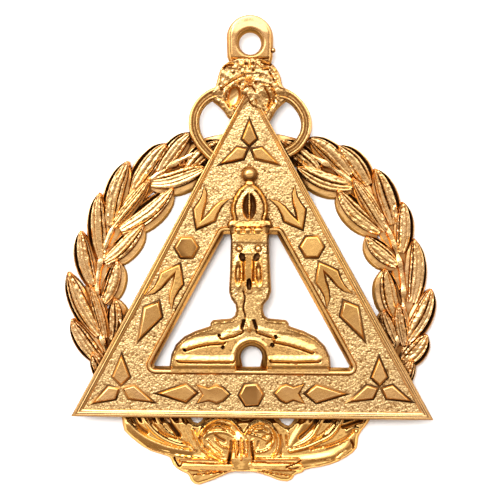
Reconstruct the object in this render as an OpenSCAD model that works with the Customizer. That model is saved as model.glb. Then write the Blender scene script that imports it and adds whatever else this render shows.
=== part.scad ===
// Lodge collar jewel: a triangle frame with a candlestick, pinned over a laurel wreath.
// It lies on its back. +Y points to the suspension eye, +Z out of its face, and the
// origin is in the middle of the back. All lengths are in millimetres.

/* [Triangle] */
// Width of the triangle across its base
tri_w = 58.9; // [56:0.1:62]
// Height from the base edge to where the legs' outer edges would meet
tri_h = 54.1; // [52:0.1:57]
// How far the base edge lies below the middle of the jewel
base_drop = 27.3; // [26:0.1:28.5]
// Width of each leg, square to its edge
leg_w = 7.3; // [6.4:0.1:8]
// Width of the base bar up to the windows
bar_w = 8; // [7.2:0.1:8.6]
// Rounding of the windows' corners
window_r = 1.2; // [0.5:0.1:1.6]
// Thickness of the plate under the stippled ground
plate_t = 1.3; // [1.1:0.05:1.8]
// Height of the rims above the ground
rim_h = 0.5; // [0.3:0.05:0.7]
// Width of the rims
rim_w = 0.5; // [0.3:0.05:0.8]
// Width of the bevel outside the outer rim
bevel_w = 1; // [0.6:0.05:1.3]

/* [Raised shapes] */
// Height of the kites, hexagons and fishtails above the ground
pad_h = 0.45; // [0.25:0.05:0.7]
// Length of a kite
kite_l = 4.9; // [4:0.1:5.4]
// Width of a kite
kite_w = 2.7; // [2:0.1:3]
// Radius of a hexagon to its corners
hex_r = 1.9; // [1.5:0.05:2.1]
// Length of a fishtail on a leg
tail_l = 7; // [6:0.1:7.4]
// Width of a fishtail on a leg
tail_w = 4.5; // [3.8:0.1:4.8]
// Length of a fishtail on the base bar
bar_tail_l = 5; // [4.4:0.1:5.2]
// Width of a fishtail on the base bar
bar_tail_w = 2.9; // [2.4:0.1:3.2]
// Length of the single kites on legs and bar
long_kite_l = 6.8; // [6:0.1:7.2]
// Distance of the top trio of kites below the point where the edges meet
trio_drop = 10.4; // [10:0.1:10.8]
// Distance of the corner trios above the base edge
trio_y = 5.1; // [4.8:0.1:5.4]
// Distance of the corner trios in from the corner
trio_in = 8.5; // [8:0.1:9]
// Height of the legs' hexagons above the base edge
leg_hex_y = 27.8; // [27.2:0.1:28.4]
// Height of the base bar's row of shapes above the base edge
bar_row_y = 4.1; // [3.9:0.1:4.3]
// Space left between one raised shape and the next in a row
pad_space = 0.4; // [0.2:0.05:0.6]

/* [Candlestick] */
// Height of the candlestick from the base bar to the top of its ball
stick_h = 32.8; // [32:0.1:33.4]
// Width of its foot
foot_w = 25.9; // [25:0.1:26.6]
// Greatest width of its stem
stem_w = 6.5; // [6:0.1:7]
// Height of its front above the back of the triangle
stick_t = 2.9; // [2.6:0.05:3.3]
// Radius of the arch through its foot
arch_r = 1.95; // [1.5:0.05:2.2]
// Width of the raised band round the arch
arch_band = 0.7; // [0.5:0.05:0.9]
// Width of the raised bars on the foot
foot_bar_w = 1; // [0.8:0.05:1.1]
// Radius of the ball on top
ball_r = 1.25; // [1:0.05:1.4]

/* [Crest and eye] */
// Width of the shell crest
crest_w = 10.6; // [10:0.1:11.2]
// Height of the shell crest
crest_h = 8; // [7.6:0.1:8.4]
// Distance of the crest's foot below the point where the edges meet
crest_drop = 3.9; // [3.6:0.1:4.3]
// Thickness of the crest
crest_t = 1.9; // [1.7:0.05:2.3]
// Distance of each scroll loop's middle from the middle line
loop_x = 5.8; // [5.5:0.1:6.1]
// Half the width of a scroll loop, to the middle of its band
loop_rx = 3.2; // [2.9:0.05:3.5]
// Half the height of a scroll loop, to the middle of its band
loop_ry = 4.9; // [4.6:0.05:5.2]
// Distance of the scroll loops' middle below the crest's foot
loop_drop = 2.2; // [1.9:0.1:2.5]
// Width of a scroll loop's band
loop_band = 1.45; // [1.2:0.05:1.7]
// Thickness of a scroll loop's band
loop_t = 1.7; // [1.4:0.05:2]
// Radius of the hole in the suspension eye
eye_hole_r = 2; // [1.8:0.05:2.2]
// Outer radius of the suspension eye
eye_r = 3.5; // [3.3:0.05:3.8]
// Height of the hole's middle above the crest's foot
eye_y = 10.7; // [10.2:0.1:11]
// How much wider the eye's ring is above its hole than beside it
eye_rise = 0.9; // [0.5:0.1:1.2]
// Thickness of the eye
eye_t = 2.2; // [1.8:0.05:2.5]

/* [Wreath] */
// Radius of the wreath's middle line
ring_r = 25.2; // [24.8:0.1:25.6]
// Height of the wreath's middle above the base edge
ring_y = 19.6; // [19.2:0.1:20]
// Width of the wreath's band of leaves
band_w = 8.4; // [8:0.1:8.8]
// How far the wreath is turned clockwise behind the triangle, in degrees
ring_turn = 1.2; // [0:0.1:2]
// Width of a leaf
leaf_w = 3.7; // [3.4:0.1:4]
// Height of a leaf's tip above the back
leaf_t = 2.5; // [2.2:0.05:2.55]
// Thickness of the backing that joins the leaves
backing_t = 1.1; // [0.9:0.05:1.4]
// Thickness of the wreath where the triangle rests on it
wreath_t = 2.6; // [2.6:0.05:2.9]
// Width of the bow across its longer ribbons
bow_w = 21.3; // [20:0.1:22.4]
// Height of the bow from ribbon ends to knot top
bow_h = 7.5; // [7:0.1:8]
// Distance of the lowest ribbon ends below the base edge
bow_drop = 10.7; // [10.4:0.1:11]
// How far the bow sits to the left of the wreath's middle line
bow_shift = 0.9; // [0.5:0.1:1.2]
// Thickness of the bow's knot
knot_t = 3; // [2.6:0.05:3.4]
// Radius of each volute beside the knot
volute_r = 3.5; // [3.2:0.05:3.7]
// Distance of the volutes' middles below the base edge
volute_drop = 3.7; // [3.5:0.1:4]

/* [Rivets] */
// Radius of the wreath's flat landing round each rivet
landing_r = 2.4; // [2:0.1:2.6]
// Radius of a rivet
rivet_r = 0.8; // [0.6:0.05:1]
// Clearance round a rivet, all round
rivet_gap = 0.03; // [0.02:0.01:0.05]
// Clearance between the wreath and the triangle
seat_gap = 0.05; // [0.03:0.01:0.1]
// Depth of a rivet in the triangle's back
rivet_bite = 0.9; // [0.6:0.05:0.95]
// Distance of the upper rivets from the middle line
rivet_top_x = 2.6; // [2.2:0.1:2.9]
// Height of the lower rivets above the base edge
rivet_low_y = 5.2; // [4.6:0.1:5.8]

/* [Hidden] */
gold = [0.87, 0.66, 0.30];
rose_gold = [0.84, 0.60, 0.33];
brass = [0.80, 0.66, 0.36];
$fn = 48;

base_y = -base_drop;
half_apex = atan(tri_w / 2 / tri_h);
leg_cos = cos(half_apex);
leg_sin = sin(half_apex);
// Middle and radius of the circle that touches all three sides
in_r = tri_w / 2 * tan((90 - half_apex) / 2);
in_y = base_y + in_r;
frame_z = wreath_t + seat_gap;
ground_z = frame_z + plate_t;
// Depth to which a raised shape reaches into the plate
sunk = 0.3;
crest_base = base_y + tri_h - crest_drop;
eye_at = crest_base + eye_y;
stick_base = base_y + bar_w;
ring_at = base_y + ring_y;
bow_foot = base_y - bow_drop;

// Half-width of the triangle, drawn in by a distance, at a height
function tri_half(y, inset) = (base_y + tri_h - inset / leg_sin - y) * tan(half_apex);

// Direction of a path at one of its points
function heading(path, i) =
    let (step = path[min(i + 1, len(path) - 1)] - path[max(i - 1, 0)]) step / norm(step);

// A bar swept along a path: each station has its half-width and height, and the profile
// gives its top from right to left in shares of both
module sweep(path, half_w, high, profile, low) {
    section = concat([[-1, 0]], profile, [[1, 0]]);
    last = len(path) - 1;
    m = len(section);
    points = [
        for (i = [0:last], p = section)
            let (d = heading(path, i), at = path[i] + [-d.y, d.x] * p.x * half_w[i])
            [at.x, at.y, low + p.y * high[i]]
    ];
    sides = [
        for (i = [0:last - 1], j = [0:m - 1])
            let (k = (j + 1) % m)
            [i * m + j, i * m + k, (i + 1) * m + k, (i + 1) * m + j]
    ];
    start = [for (j = [m - 1:-1:0]) j];
    end = [for (j = [0:m - 1]) last * m + j];
    polyhedron(points, concat([start], sides, [end]), convexity = 6);
}

// Profiles: share of the half-width and share of the height
round_top = [[-1, 0.45], [-0.8, 0.78], [-0.42, 0.95], [0, 1], [0.42, 0.95], [0.8, 0.78], [1, 0.45]];
grooved_top = [[-1, 0.65], [-0.6, 1], [0, 0.72], [0.6, 1], [1, 0.65]];
leaf_top = [[-1, 0.55], [-0.8, 0.92], [-0.42, 0.68], [0, 1], [0.42, 0.68], [0.8, 0.92], [1, 0.55]];

// A raised shape with bevelled sides, from below the ground up to its flat face
module pad(points) {
    middle = [for (axis = [0:1]) [for (p = points) p[axis]] * [for (p = points) 1] / len(points)];
    translate([middle.x, middle.y, ground_z - sunk])
        linear_extrude(height = sunk + pad_h, scale = 0.78)
            translate(-middle)
                polygon(points);
}

function turned(points, angle, at) =
    [for (p = points) at + [p.x * cos(angle) - p.y * sin(angle), p.x * sin(angle) + p.y * cos(angle)]];

// A kite lies along +X from its blunt corner
function kite(length, width) = [[0, 0], [0.31 * length, -width / 2], [length, 0], [0.31 * length, width / 2]];

// A fishtail lies along +X from its point, and its two barbs end behind the notch
function fishtail(length, width, notch) = [
    [0, 0],
    [0.4 * length, -0.46 * width],
    [0.6 * length, -0.33 * width],
    [length, -0.5 * width],
    [notch * length, 0],
    [length, 0.5 * width],
    [0.6 * length, 0.33 * width],
    [0.4 * length, 0.46 * width],
];

module triangle_2d(inset) {
    polygon([
        [-tri_half(base_y + inset, inset), base_y + inset],
        [tri_half(base_y + inset, inset), base_y + inset],
        [0, base_y + tri_h - inset / leg_sin],
    ]);
}

// The opening between the legs, above the base bar
module window_2d() {
    low = base_y + bar_w;
    top = stick_y(collar_foot);
    offset(window_r)
        offset(-window_r)
            polygon([
                [-tri_half(low, leg_w), low],
                [tri_half(low, leg_w), low],
                [tri_half(top, leg_w), top],
                [-tri_half(top, leg_w), top],
            ]);
}

// The bevelled plate with its rims and its sunk ground, open at the window
module plate() {
    difference() {
        translate([0, in_y, frame_z])
            linear_extrude(height = plate_t + rim_h, scale = (in_r - bevel_w) / in_r)
                translate([0, -in_y])
                    triangle_2d(0);
        translate([0, 0, ground_z])
            linear_extrude(height = rim_h + 1)
                difference() {
                    triangle_2d(bevel_w + rim_w);
                    offset(rim_w) window_2d();
                }
        translate([0, 0, frame_z - 1])
            linear_extrude(height = plate_t + rim_h + 2)
                window_2d();
        crest_cut();
    }
}

// Above the crest's foot the plate gives way to the crest
module crest_cut() {
    translate([-crest_w, crest_base + 0.3 * crest_h, frame_z - 1])
        cube([2 * crest_w, crest_h, plate_t + rim_h + 2]);
}

module kite_trio(at) {
    for (angle = [90, 210, 330])
        pad(turned(kite(kite_l, kite_w), angle, at));
}

module hexagon(at) {
    pad([for (i = [0:5]) at + hex_r * [cos(60 * i), sin(60 * i)]]);
}

// The run of shapes down one leg, on the leg's middle line
module leg_shapes(side) {
    down = [side * leg_sin, -leg_cos];
    steep = atan2(down.y, down.x);
    middle = [side * tri_half(base_y + leg_hex_y, leg_w / 2), base_y + leg_hex_y];
    reach = hex_r + 2 * pad_space;
    hexagon(middle);
    pad(turned(fishtail(tail_l, tail_w, 0.36), steep + 180, middle - down * (reach + pad_space)));
    pad(turned(fishtail(tail_l, tail_w, 0.36), steep, middle + down * reach));
    pad(turned(kite(long_kite_l, kite_w), steep, middle + down * (reach + tail_l)));
}

// The run of shapes along the base bar, on its middle line
module bar_shapes() {
    middle = [0, base_y + bar_row_y];
    reach = hex_r + 4 * pad_space;
    hexagon(middle);
    for (angle = [0, 180]) {
        out = [cos(angle), 0];
        pad(turned(fishtail(bar_tail_l, bar_tail_w, 0.85), angle, middle + out * reach));
        pad(turned(kite(long_kite_l, kite_w), angle, middle + out * (reach + bar_tail_l)));
    }
}

// Height of the collar's foot above the base bar in shares of stick_h
collar_foot = 0.67;
// Stem and bulb: height, half-width and thickness in shares of stick_h, stem_w and stick_t
stem_rows = [
    [0.22, 0.46, 0.70],
    [0.27, 0.37, 0.78],
    [0.30, 0.36, 0.80],
    [0.34, 0.46, 0.90],
    [0.37, 0.63, 0.95],
    [0.42, 0.54, 0.95],
    [0.60, 0.52, 0.92],
    [0.64, 0.58, 0.90],
    [collar_foot, 0.62, 0.86],
];
bulb_rows = [
    [0.73, 0.44, 0.86],
    [0.76, 0.51, 0.95],
    [0.80, 0.54, 1.00],
    [0.85, 0.46, 0.98],
    [0.89, 0.28, 0.88],
    [0.93, 0.10, 0.74],
];
// Right half of the foot's outline: half-width in shares of foot_w, height in shares of
// stick_h
foot_rows = [
    [0.50, 0.00],
    [0.49, 0.07],
    [0.47, 0.12],
    [0.42, 0.155],
    [0.34, 0.19],
    [0.24, 0.21],
    [0.24, 0.235],
    [0.10, 0.245],
];
// Raised bars of the foot: inner end and outer end in shares of foot_w, height in shares
// of stick_h
foot_bars = [[0.13, 0.45, 0.07], [0.13, 0.42, 0.12], [0.04, 0.2, 0.185]];

function stick_y(share) = stick_base + share * stick_h;

module lofted(rows) {
    sweep(
        [for (r = rows) [0, stick_y(r[0])]],
        [for (r = rows) r[1] * stem_w],
        [for (r = rows) r[2] * stick_t],
        round_top, frame_z
    );
}

module slot_2d(half_w, half_l) {
    for (end = [-1, 1])
        translate([0, end * (half_l - half_w)])
            circle(half_w);
    square([2 * half_w, 2 * (half_l - half_w)], center = true);
}

// The stepped foot with its raised bars
module foot() {
    thick = 0.72 * stick_t;
    translate([0, 0, frame_z])
        linear_extrude(height = thick)
            polygon(concat(
                [for (r = foot_rows) [r[0] * foot_w, stick_y(r[1])]],
                [for (i = [len(foot_rows) - 1:-1:0]) [-foot_rows[i][0] * foot_w, stick_y(foot_rows[i][1])]]
            ));
    for (side = [-1, 1], bar = foot_bars)
        sweep(
            [for (end = [bar[0], (bar[0] + bar[1]) / 2, bar[1]]) [side * end * foot_w, stick_y(bar[2])]],
            [for (t = [1, 1, 0.7]) t * foot_bar_w / 2],
            [for (t = [0.95, 0.95, 0.85]) t * stick_t],
            round_top, frame_z
        );
}

module arch_ring(radius, low, high) {
    translate([0, stick_y(0.045), low])
        cylinder(r = radius, h = high);
}

// Collar under the bulb, with its row of beads
module collar() {
    translate([-0.61 * stem_w, stick_y(collar_foot), frame_z])
        cube([1.22 * stem_w, 0.065 * stick_h, 0.85 * stick_t]);
    for (i = [-1.5:1.5])
        translate([i * 0.26 * stem_w, stick_y(collar_foot + 0.025), frame_z + 0.85 * stick_t])
            sphere(0.1 * stem_w);
}

// Strap and raised ovals on the stem
module stem_trim() {
    translate([0, stick_y(0.49), frame_z])
        linear_extrude(height = 1.06 * stick_t)
            slot_2d(0.1 * stem_w, 0.1 * stick_h);
    for (side = [-1, 1])
        translate([side * 0.28 * stem_w, stick_y(0.465), frame_z])
            linear_extrude(height = stick_t)
                slot_2d(0.12 * stem_w, 0.065 * stick_h);
}

module candlestick() {
    difference() {
        union() {
            lofted(stem_rows);
            lofted(bulb_rows);
            foot();
            arch_ring(arch_r + arch_band, frame_z, 0.82 * stick_t);
            collar();
            stem_trim();
            translate([0, stick_y(1) - ball_r, frame_z + 0.6 * stick_t])
                sphere(ball_r);
        }
        arch_ring(arch_r, frame_z - 1, stick_t + 2);
        translate([-foot_w, stick_base - stick_h - rim_w, frame_z - 1])
            cube([2 * foot_w, stick_h, stick_t + 3]);
    }
}

// Right half of the crest's outline: half-width in shares of crest_w, height in shares of
// crest_h
crest_rows = [[0.30, 0.00], [0.38, 0.22], [0.47, 0.38], [0.50, 0.52], [0.49, 0.76], [0.43, 0.92], [0.33, 1.02]];
// One petal of the shell, outwards: reach and half-width in shares of crest_w, thickness
// in shares of crest_t
petal_rows = [[0.10, 0.03, 1.10], [0.25, 0.07, 1.32], [0.40, 0.066, 1.26], [0.46, 0.03, 1]];

module crest() {
    translate([0, 0, frame_z])
        linear_extrude(height = crest_t)
            polygon(concat(
                [for (r = crest_rows) [r[0] * crest_w, crest_base + r[1] * crest_h]],
                [for (i = [len(crest_rows) - 1:-1:0])
                    [-crest_rows[i][0] * crest_w, crest_base + crest_rows[i][1] * crest_h]]
            ));
    // Petals of the shell fan out from one point
    fan = [0, crest_base + 0.42 * crest_h];
    for (angle = [20:28:160])
        sweep(
            [for (r = petal_rows) fan + r[0] * crest_w * [cos(angle), sin(angle)]],
            [for (r = petal_rows) r[1] * crest_w],
            [for (r = petal_rows) r[2] * crest_t],
            round_top, frame_z
        );
    for (side = [-1, 1])
        translate([side * 0.25 * crest_w, crest_base + 0.25 * crest_h, frame_z + 0.82 * crest_t])
            sphere(0.11 * crest_w, $fn = 32);
}

// A grooved band that leaves the crest and comes back to the leg
module scroll_loop(side) {
    path = [
        for (i = [0:12])
            let (a = 105 - i * 17.5)
            [side * (loop_x + loop_rx * cos(a)), crest_base - loop_drop + loop_ry * sin(a)]
    ];
    sweep(path, [for (p = path) loop_band / 2], [for (p = path) loop_t], grooved_top, frame_z);
}

module eye_body() {
    top = eye_at + eye_rise;
    neck = crest_base + 0.9 * crest_h;
    translate([0, top, frame_z])
        cylinder(r = eye_r, h = eye_t);
    translate([-eye_r, neck, frame_z])
        cube([2 * eye_r, top - neck, eye_t]);
}

rivet_spots = [
    [-rivet_top_x, ring_at + sqrt(pow(ring_r, 2) - pow(rivet_top_x, 2))],
    [rivet_top_x, ring_at + sqrt(pow(ring_r, 2) - pow(rivet_top_x, 2))],
    [-sqrt(pow(ring_r, 2) - pow(ring_y - rivet_low_y, 2)), base_y + rivet_low_y],
    [sqrt(pow(ring_r, 2) - pow(ring_y - rivet_low_y, 2)), base_y + rivet_low_y],
];

module rivet(i) {
    translate(rivet_spots[i])
        cylinder(r = rivet_r, h = frame_z + rivet_bite);
}

module rivet_holes(low, high) {
    for (spot = rivet_spots)
        translate([spot.x, spot.y, low])
            cylinder(r = rivet_r + rivet_gap, h = high - low);
}

module triangle_frame() {
    color(gold)
        difference() {
            union() {
                plate();
                kite_trio([0, base_y + tri_h - trio_drop]);
                for (side = [-1, 1]) {
                    kite_trio([side * (tri_w / 2 - trio_in), base_y + trio_y]);
                    leg_shapes(side);
                    scroll_loop(side);
                }
                bar_shapes();
                candlestick();
                crest();
                eye_body();
            }
            translate([0, eye_at, frame_z - 1])
                cylinder(r = eye_hole_r, h = eye_t + 2);
            rivet_holes(frame_z - 1, frame_z + rivet_bite + rivet_gap);
        }
}

// One branch of the wreath, a row for each leaf from the knot to the top: first and last
// angle round the ring, offset of base and tip from its middle line in shares of band_w,
// width in shares of leaf_w, and height in shares of leaf_t
leaf_rows = [
    [8, 47, 0.20, 0.42, 0.8, 0.96],
    [8, 50, 0.05, 0.24, 0.8, 0.90],
    [12, 52, -0.14, 0.02, 0.8, 0.84],
    [20, 50, -0.28, -0.22, 0.9, 0.80],
    [44, 66, 0.12, 0.44, 1, 0.90],
    [44, 66, -0.10, -0.36, 1, 0.90],
    [66, 82, 0.15, 0.47, 1, 1],
    [72, 88, -0.18, -0.38, 0.9, 0.95],
    [75, 96, 0.06, 0.50, 1, 1],
    [85, 104, -0.16, -0.36, 1, 0.95],
    [72, 92, -0.06, 0.06, 0.75, 1],
    [91, 111, 0.05, 0.46, 1, 1],
    [103, 121, -0.10, -0.46, 1, 0.95],
    [105, 124, 0.02, 0.50, 1, 1],
    [117, 144, -0.18, -0.38, 1, 0.95],
    [117, 137, 0.05, 0.48, 1.05, 1],
    [116, 140, -0.04, 0.02, 0.75, 1],
    [133, 151, 0.10, 0.38, 1.05, 1],
    [138, 161, -0.08, -0.32, 1.1, 0.95],
    [142, 161, 0.05, 0.32, 1, 1],
    [155, 172, 0.02, 0.30, 1.05, 1],
    [158, 176, -0.10, -0.28, 1.05, 0.95],
];

// Shape of a leaf along its length: station, then width and height in shares of the leaf's
leaf_stations = [
    [0.00, 0.35, 0.55],
    [0.22, 0.82, 0.66],
    [0.50, 1.00, 0.84],
    [0.76, 0.82, 0.97],
    [0.92, 0.46, 1.00],
    [1.00, 0.06, 0.80],
];

function on_ring(angle, radius) = [radius * sin(angle), -radius * cos(angle)];

module leaf(row) {
    sweep(
        [for (s = leaf_stations)
            on_ring(
                row[0] + (row[1] - row[0]) * s[0],
                ring_r + band_w * (row[2] + (row[3] - row[2]) * s[0])
            )],
        [for (s = leaf_stations) s[1] * row[4] * leaf_w / 2],
        [for (s = leaf_stations) s[2] * row[5] * leaf_t],
        leaf_top, 0
    );
}

// A flat spiral that leaves the knot, runs round the outside and curls into its middle
module volute(side) {
    middle = [side * 0.95 * volute_r, base_y - volute_drop];
    turn = [
        for (i = [0:15])
            let (a = 235 + i * 30, r = volute_r * (0.86 - 0.045 * i))
            [middle.x + side * r * cos(a), middle.y + r * sin(a)]
    ];
    translate(middle)
        cylinder(r = volute_r, h = backing_t);
    for (i = [0:14])
        hull()
            for (p = [turn[i], turn[i + 1]])
                translate(p)
                    cylinder(r1 = 0.2 * volute_r, r2 = 0.1 * volute_r, h = 0.8 * leaf_t, $fn = 8);
}

// Ribbons on one side: end's distance in shares of bow_w, end's height and width in shares
// of bow_h
ribbon_rows = [[0.5, 0.5, 0.31], [0.37, 0.14, 0.27]];

module bow() {
    knot = [0, bow_foot + 0.66 * bow_h];
    for (side = [-1, 1], row = ribbon_rows)
        let (tip = [side * row[0] * bow_w, bow_foot + row[1] * bow_h])
        sweep(
            [for (t = [0, 0.35, 0.8, 1]) knot + (tip - knot) * t],
            [for (t = [0.6, 0.75, 1, 0.9]) t * row[2] * bow_h / 2],
            [for (t = [1, 0.9, 0.95, 0.85]) t * leaf_t], grooved_top, 0
        );
    for (i = [-1.5:1.5])
        sweep(
            [for (t = [0, 0.3, 0.7, 1]) knot + [i * 0.034 * bow_w, (t - 0.5) * 0.64 * bow_h]],
            [for (t = [0.014, 0.02, 0.02, 0.014]) t * bow_w],
            [for (t = [0.85, 1, 1, 0.85]) t * knot_t], round_top, 0
        );
}

module laurel_wreath() {
    color(rose_gold)
        difference() {
            union() {
                translate([0, ring_at])
                    rotate(-ring_turn) {
                        difference() {
                            cylinder(r = ring_r + 0.37 * band_w, h = backing_t, $fn = 72);
                            translate([0, 0, -1])
                                cylinder(r = ring_r - 0.37 * band_w, h = backing_t + 2, $fn = 72);
                        }
                        for (side = [0, 1], row = leaf_rows)
                            mirror([side, 0])
                                leaf(row);
                        translate([-bow_shift, -ring_at]) {
                            volute(-1);
                            volute(1);
                            bow();
                        }
                    }
                for (spot = rivet_spots)
                    translate(spot)
                        cylinder(r = landing_r, h = wreath_t);
            }
            rivet_holes(-1, wreath_t + 1);
        }
}

triangle_frame();
laurel_wreath();
color(brass) rivet(0);  // rivet_upper_left
color(brass) rivet(1);  // rivet_upper_right
color(brass) rivet(2);  // rivet_lower_left
color(brass) rivet(3);  // rivet_lower_right
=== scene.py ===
import math
import bpy
import numpy as np
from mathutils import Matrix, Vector
from mathutils.geometry import delaunay_2d_cdt


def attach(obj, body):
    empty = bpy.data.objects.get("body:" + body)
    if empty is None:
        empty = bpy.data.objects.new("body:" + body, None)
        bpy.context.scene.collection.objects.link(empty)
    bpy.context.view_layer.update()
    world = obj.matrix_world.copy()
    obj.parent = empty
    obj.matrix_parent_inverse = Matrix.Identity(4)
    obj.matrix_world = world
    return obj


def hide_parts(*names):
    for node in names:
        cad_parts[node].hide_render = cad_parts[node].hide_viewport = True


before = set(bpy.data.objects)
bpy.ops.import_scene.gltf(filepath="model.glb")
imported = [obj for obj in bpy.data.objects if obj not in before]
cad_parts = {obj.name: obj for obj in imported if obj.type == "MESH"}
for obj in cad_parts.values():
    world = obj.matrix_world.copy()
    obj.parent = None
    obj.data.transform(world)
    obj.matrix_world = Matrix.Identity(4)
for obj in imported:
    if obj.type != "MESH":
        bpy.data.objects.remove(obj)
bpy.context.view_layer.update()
mm = 0.001


# Shape helpers, in millimetres

def unit(value):
    # held between 0 and 1
    return np.clip(value, 0, 1)


def bell(distance, width):
    # 1 where the distance is 0, and next to nothing past twice the width
    return np.exp(-((distance / width) ** 2))


def hump(share):
    # falls in a smooth wave from 1 at share 0 to nothing at share 1
    return 0.5 + 0.5 * np.cos(math.pi * unit(share))


def edgeFall(edge, width):
    # a quarter-round edge: 1 at the very edge, nothing from the width inward
    return 1 - np.sqrt(unit(1 - (1 - unit(edge / width)) ** 2))


def circle(middle, radius, angles):
    return np.stack([middle[0] + radius * np.cos(angles), middle[1] + radius * np.sin(angles)], 1)


def level(xy, z):
    # flat points lifted to one height
    return np.column_stack([xy, np.full(len(xy), z)])


def painted(stipple, paintedShade):
    # the two marks of each point, side by side: stipple and painted shade
    return np.column_stack([np.broadcast_to(stipple, len(paintedShade)), paintedShade])


def smoothRows(rows, count):
    # a smooth curve through the rows, as many points as asked
    rows = np.array(rows, float)
    last = len(rows) - 1
    t = np.linspace(0, last, count)
    i = np.minimum(t.astype(int), last - 1)
    f = (t - i)[:, None]
    a, b, c, d = (rows[np.clip(i + k, 0, last)] for k in (-1, 0, 1, 2))
    square, cube = 2 * a - 5 * b + 4 * c - d, 3 * b - a - 3 * c + d
    return 0.5 * (2 * b + (c - a) * f + square * f**2 + cube * f**3)


def valueNoise(x, y, size, seed):
    # soft random hills, about one for each square of the given size
    table = np.random.default_rng(seed).random((128, 128))
    u, v = np.asarray(x) / size, np.asarray(y) / size
    i, j = np.floor(u).astype(int), np.floor(v).astype(int)
    s, t = u - i, v - j
    s, t = s * s * (3 - 2 * s), t * t * (3 - 2 * t)

    def row(q):
        return table[i % 128, (j + q) % 128] * (1 - s) + table[(i + 1) % 128, (j + q) % 128] * s

    return row(0) * (1 - t) + row(1) * t


def castGrain(x, y, fine, coarse, seed):
    # the roughness of a worked face, from two sizes of hills
    return valueNoise(x, y, fine, seed) + 0.6 * valueNoise(x, y, coarse, seed + 1) - 0.8


def turn(points, degrees, at=(0, 0)):
    c, s = math.cos(math.radians(degrees)), math.sin(math.radians(degrees))
    p = np.asarray(points, float)
    return np.stack([p[:, 0] * c - p[:, 1] * s + at[0], p[:, 0] * s + p[:, 1] * c + at[1]], 1)


def loopNormals(loop):
    # outward normals of a counter-clockwise loop
    along = np.roll(loop, -1, 0) - np.roll(loop, 1, 0)
    along /= np.linalg.norm(along, axis=1)[:, None]
    return np.stack([along[:, 1], -along[:, 0]], 1)


def roundedLoop(corners, radius, steps=6, spacing=0.8):
    # counter-clockwise polygon with rounded corners, points all along its sides
    corners = np.array(corners, float)
    points = []
    for k in range(len(corners)):
        before, here, after = corners[k - 1], corners[k], corners[(k + 1) % len(corners)]
        a = (before - here) / np.linalg.norm(before - here)
        b = (after - here) / np.linalg.norm(after - here)
        half = math.acos(np.clip(a @ b, -1, 1)) / 2
        middle = here + (a + b) / np.linalg.norm(a + b) * radius / math.sin(half)
        start = here + a * radius / math.tan(half)
        first = math.atan2(*(start - middle)[::-1])
        turns = first + (math.pi - 2 * half) * np.arange(steps + 1) / steps
        points += list(circle(middle, radius, turns))
    full = []
    for p, q in zip(points, points[1:] + points[:1]):
        pieces = max(1, int(np.linalg.norm(q - p) / spacing))
        full += [p + (q - p) * s / pieces for s in range(pieces)]
    return np.array(full)


def distanceToLoop(xy, loop):
    # negative inside
    best = np.full(len(xy), 1e9)
    inside = np.zeros(len(xy), bool)
    for p, q in zip(loop, np.roll(loop, -1, 0)):
        d = q - p
        t = unit(((xy - p) @ d) / (d @ d))
        best = np.minimum(best, np.linalg.norm(xy - p - t[:, None] * d, axis=1))
        if p[1] != q[1]:
            crosses = (p[1] > xy[:, 1]) != (q[1] > xy[:, 1])
            inside ^= crosses & (xy[:, 0] < p[0] + (xy[:, 1] - p[1]) / (q[1] - p[1]) * d[0])
    return np.where(inside, -best, best)


def distanceToMetal(xy, loops):
    # the first loop is the outline and the others are holes; negative in the metal
    away = distanceToLoop(xy, loops[0])
    for hole in loops[1:]:
        away = np.maximum(away, -distanceToLoop(xy, hole))
    return away


def evenLoop(loop, spacing):
    # the loop again, with its corners kept and its sides cut into even steps
    points = []
    for p, q in zip(loop, np.roll(loop, -1, 0)):
        pieces = max(1, round(np.linalg.norm(q - p) / spacing))
        points += [p + (q - p) * k / pieces for k in range(pieces)]
    return np.array(points)


def smoothLoop(rows, count):
    # a smooth closed curve through the points, cut into even steps
    rows, fineSteps = np.array(rows, float), 24
    wrapped = np.concatenate([rows[-2:], rows, rows[:3]])
    fine = smoothRows(wrapped, (len(wrapped) - 1) * fineSteps + 1)
    fine = fine[2 * fineSteps:(2 + len(rows)) * fineSteps]
    step = np.linalg.norm(np.roll(fine, -1, 0) - fine, axis=1)
    far = np.concatenate([[0], np.cumsum(step)])
    fine = np.concatenate([fine, fine[:1]])
    at = np.linspace(0, far[-1], count, endpoint=False)
    return np.stack([np.interp(at, far, fine[:, k]) for k in (0, 1)], 1)


def distanceToPath(x, y, path):
    # positive on the left of the path
    path = np.asarray(path, float)
    best, signed = np.full(x.shape, 1e9), np.zeros(x.shape)
    lengths = np.linalg.norm(np.diff(path, axis=0), axis=1)
    for length, p, q in zip(lengths, path[:-1], path[1:]):
        dx, dy = (q - p) / length
        along = np.clip((x - p[0]) * dx + (y - p[1]) * dy, 0, length)
        ox, oy = x - p[0] - along * dx, y - p[1] - along * dy
        d = np.hypot(ox, oy)
        closer = d < best
        best = np.where(closer, d, best)
        signed = np.where(closer, np.where(dx * oy - dy * ox >= 0, d, -d), signed)
    return signed


def ridge(x, y, path, high, left, right=None, flat=0.0):
    # a rounded ridge along a path, with its own width on each side and perhaps a flat top
    d = distanceToPath(x, y, path)
    width = np.where(d > 0, left, left if right is None else right)
    return high * hump((np.abs(d) - flat) / (width - flat))


def folded(x, y, folds):
    # all the raised folds and all the grooves of a face
    up, down = np.zeros(x.shape), np.zeros(x.shape)
    for path, high, *widths in folds:
        fold = ridge(x, y, smoothRows(path, 3 * len(path)), high, *widths)
        up, down = np.maximum(up, fold), np.minimum(down, fold)
    return up, down


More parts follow.
